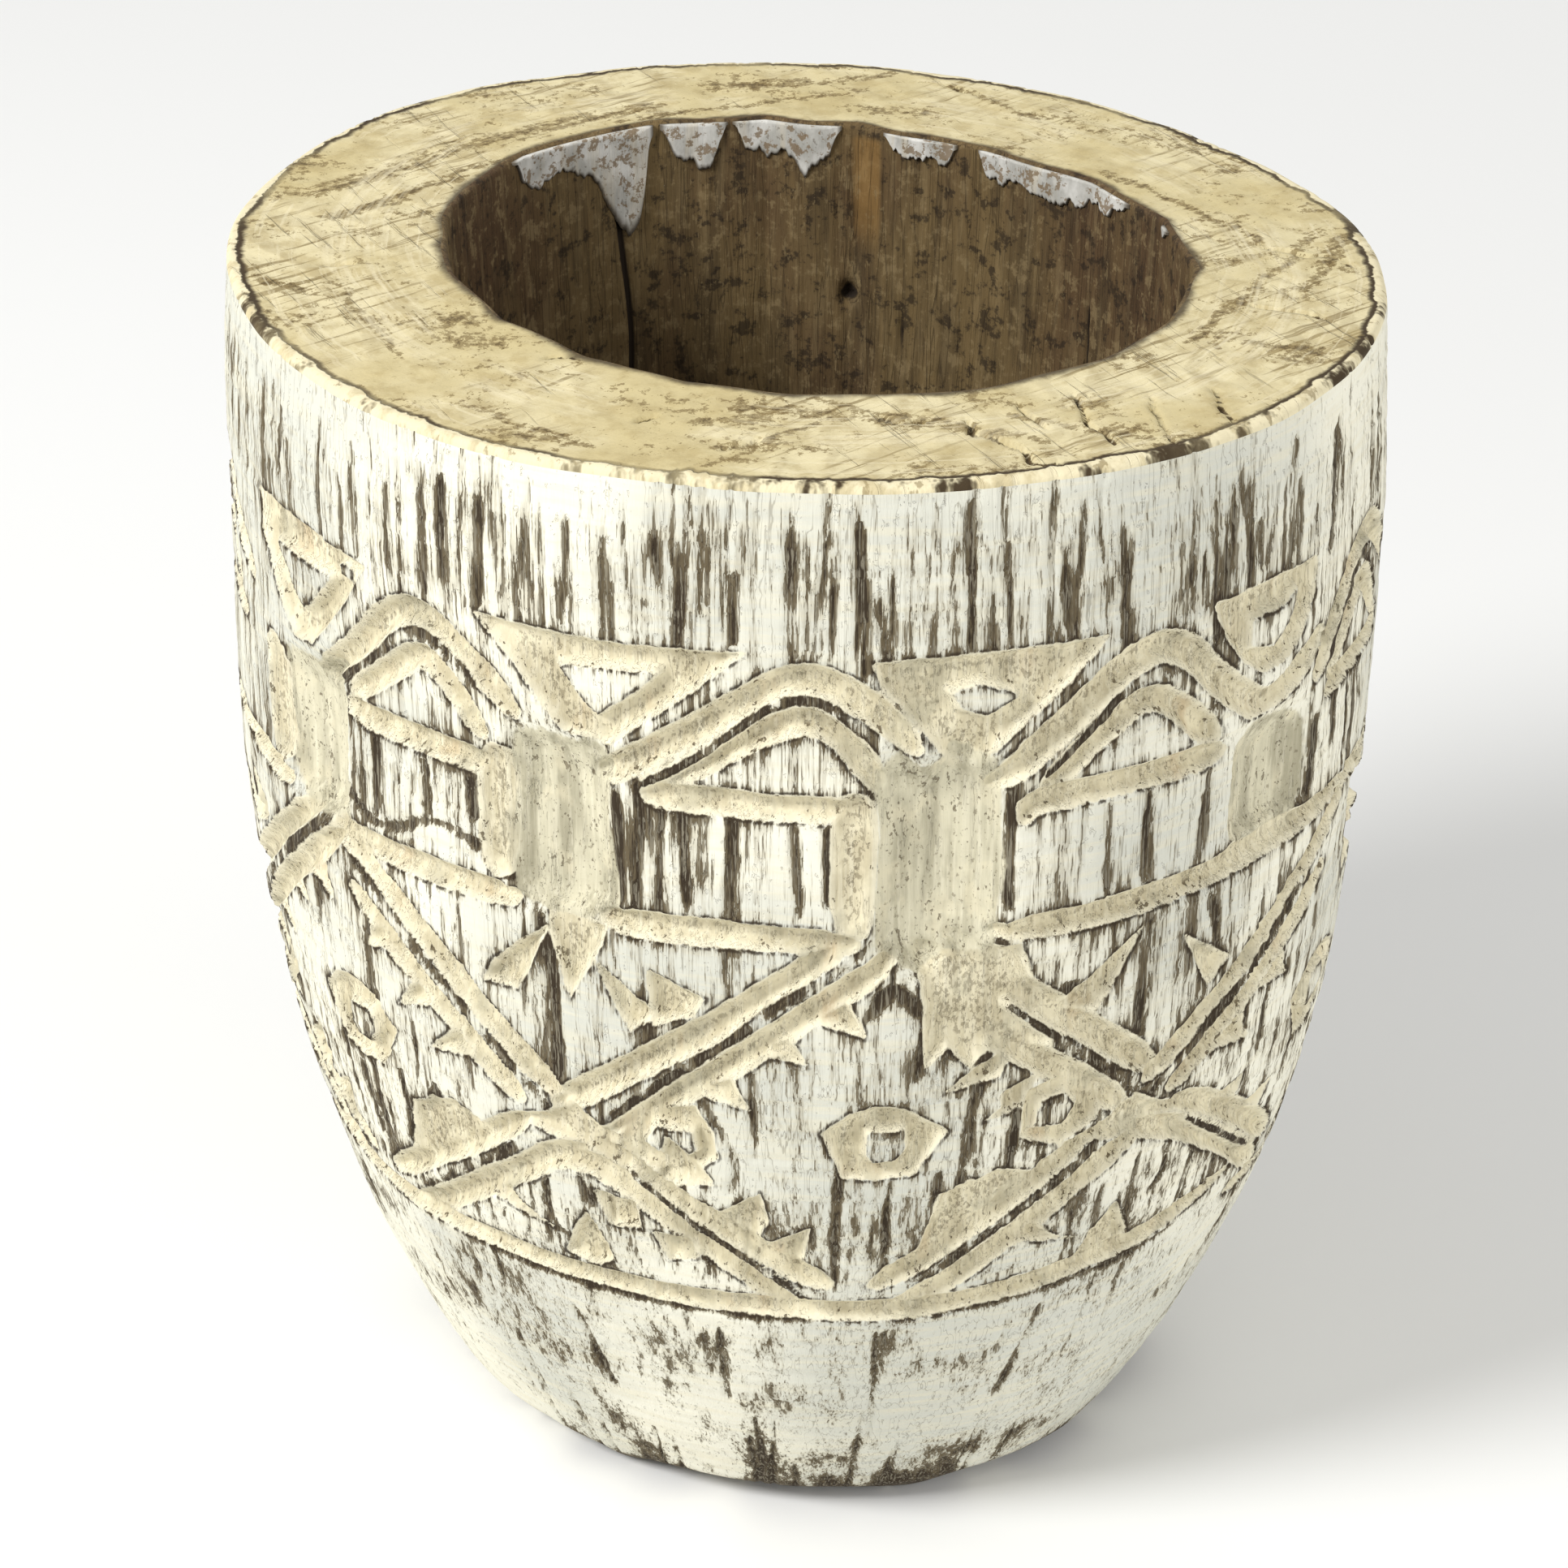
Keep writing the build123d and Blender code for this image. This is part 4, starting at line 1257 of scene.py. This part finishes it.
def makeCrust(name, outline):
    outline = outline[::-1]
    at = np.arange(outline[0][0], outline[-1][0] + 0.01, crustSize["step"])
    low = np.interp(at, [p[0] for p in outline], [p[1] for p in outline])
    window = np.hanning(crustSize["soften"] * 2 + 3)[1:-1]
    padded = np.pad(low, crustSize["soften"], mode="edge")
    low = np.convolve(padded, window / window.sum(), mode="valid")
    tears = cloud(at, at * 0, 2.2, 50, 71) + 0.5 * cloud(at, at * 0, 0.7, 50, 72)
    low = low + crustSize["ragged"] * (tears + 0.35 * cloud(at, at * 0, 0.3, 50, 75))
    fromEnd = np.minimum(at - at[0], at[-1] - at)
    low = np.maximum(low * (0.3 + 0.7 * ease(fromEnd, 0, crustSize["taper"])), crustSize["shortest"])
    shares = np.linspace(0, 1, crustSize["rows"])[:, None]
    depth = crustSize["topDepth"] + (low - crustSize["topDepth"]) * shares
    turn = np.broadcast_to(at, depth.shape)
    fromEdge = np.minimum(np.minimum(1 - shares, 0.5), np.minimum(turn - at[0], at[-1] - turn) / 6)
    wallHere = hollowRadius(turn, bowlHeight - depth)
    lumps = 0.5 + 0.35 * cloud(turn, bowlHeight - depth, 3, 8, 73)
    thick = crustSize["thickness"] * (0.45 + lumps) * ease(fromEdge, -0.06, 0.10)
    front = ringPoints(turn, wallHere - thick - crustSize["clear"], bowlHeight - depth, mouthX, mouthY)
    back = ringPoints(turn, wallHere + crustSize["sunkIn"], bowlHeight - depth, mouthX, mouthY)
    rows, count = depth.shape
    index = np.arange(rows * count).reshape(rows, count)
    other = index + rows * count
    faces = [
        np.stack([index[:-1, :-1], index[1:, :-1], index[1:, 1:], index[:-1, 1:]], -1).reshape(-1, 4),
        np.stack([other[:-1, :-1], other[:-1, 1:], other[1:, 1:], other[1:, :-1]], -1).reshape(-1, 4),
        np.stack([index[0, :-1], index[0, 1:], other[0, 1:], other[0, :-1]], -1),
        np.stack([index[-1, 1:], index[-1, :-1], other[-1, :-1], other[-1, 1:]], -1),
        np.stack([index[1:, 0], index[:-1, 0], other[:-1, 0], other[1:, 0]], -1),
        np.stack([index[:-1, -1], index[1:, -1], other[1:, -1], other[:-1, -1]], -1),
    ]
    both = np.concatenate([front.reshape(-1, 3), back.reshape(-1, 3)])
    mesh = meshFromArrays(name + "Skin", both * mm, np.concatenate(faces))
    addField(mesh, "flakeEdge", np.concatenate([fromEdge.ravel(), np.zeros(fromEdge.size)]))
    piece = placePiece(name, mesh, [crustMaterial], name)


for name, outline in crust.items():
    makeCrust(name, outline)
print("limewash flakes placed")

studio = {
    # metres
    "floorSize": 8.0, "seesTo": 50.0,
    "floorColour": colour(238, 238, 236), "floorRoughness": 0.95,
    "worldColour": (1.0, 1.0, 1.0, 1.0), "worldStrength": 0.56,
    # light: place in metres, size in metres, watts
    "key": ((-2.0, -1.2, 2.2), 1.0, 82.0), "fill": ((2.4, -1.6, 1.2), 2.0, 30.0),
    "back": ((0.4, 2.4, 1.8), 1.8, 8.0),
    # camera, in millimetres and degrees
    "target": (-5.3, 0.0, 212.1), "distance": 1507.4, "elevation": 29.52, "lens": 105.9,
    "sensorWidth": 36.0,
}


def makeStudio():
    half = studio["floorSize"] / 2
    corners = [(-half, -half), (half, -half), (half, half), (-half, half)]
    mesh = bpy.data.meshes.new("studioFloor")
    mesh.from_pydata([(x, y, bowlLow.z) for x, y in corners], [], [(0, 1, 2, 3)])
    floor = bpy.data.objects.new("studioFloor", mesh)
    material = bpy.data.materials.new("palePaperFloor")
    material.use_nodes = True
    paper = material.node_tree.nodes["Principled BSDF"]
    paper.inputs["Base Color"].default_value = studio["floorColour"]
    paper.inputs["Roughness"].default_value = studio["floorRoughness"]
    mesh.materials.append(material)
    bpy.context.scene.collection.objects.link(floor)
    target = Vector(studio["target"]) * mm
    for name in ("key", "fill", "back"):
        place, size, power = studio[name]
        lamp = bpy.data.lights.new(name + "Light", "AREA")
        lamp.shape = "DISK"
        lamp.size = size
        lamp.energy = power
        holder = bpy.data.objects.new(name + "Light", lamp)
        holder.location = place
        holder.rotation_euler = (target - Vector(place)).to_track_quat("-Z", "Y").to_euler()
        bpy.context.scene.collection.objects.link(holder)
    world = bpy.data.worlds.new("paleWorld")
    world.use_nodes = True
    sky = world.node_tree.nodes["Background"]
    sky.inputs["Color"].default_value = studio["worldColour"]
    sky.inputs["Strength"].default_value = studio["worldStrength"]
    bpy.context.scene.world = world
    lens = bpy.data.cameras.new("studioCamera")
    lens.lens = studio["lens"]
    lens.sensor_width = studio["sensorWidth"]
    lens.clip_end = studio["seesTo"]
    camera = bpy.data.objects.new("studioCamera", lens)
    up = math.radians(studio["elevation"])
    camera.location = target + Vector((0, -math.cos(up), math.sin(up))) * studio["distance"] * mm
    camera.rotation_euler = (target - camera.location).to_track_quat("-Z", "Y").to_euler()
    bpy.context.scene.collection.objects.link(camera)
    bpy.context.scene.camera = camera
    bpy.context.scene.view_settings.view_transform = "Standard"


makeStudio()
print("studio set")
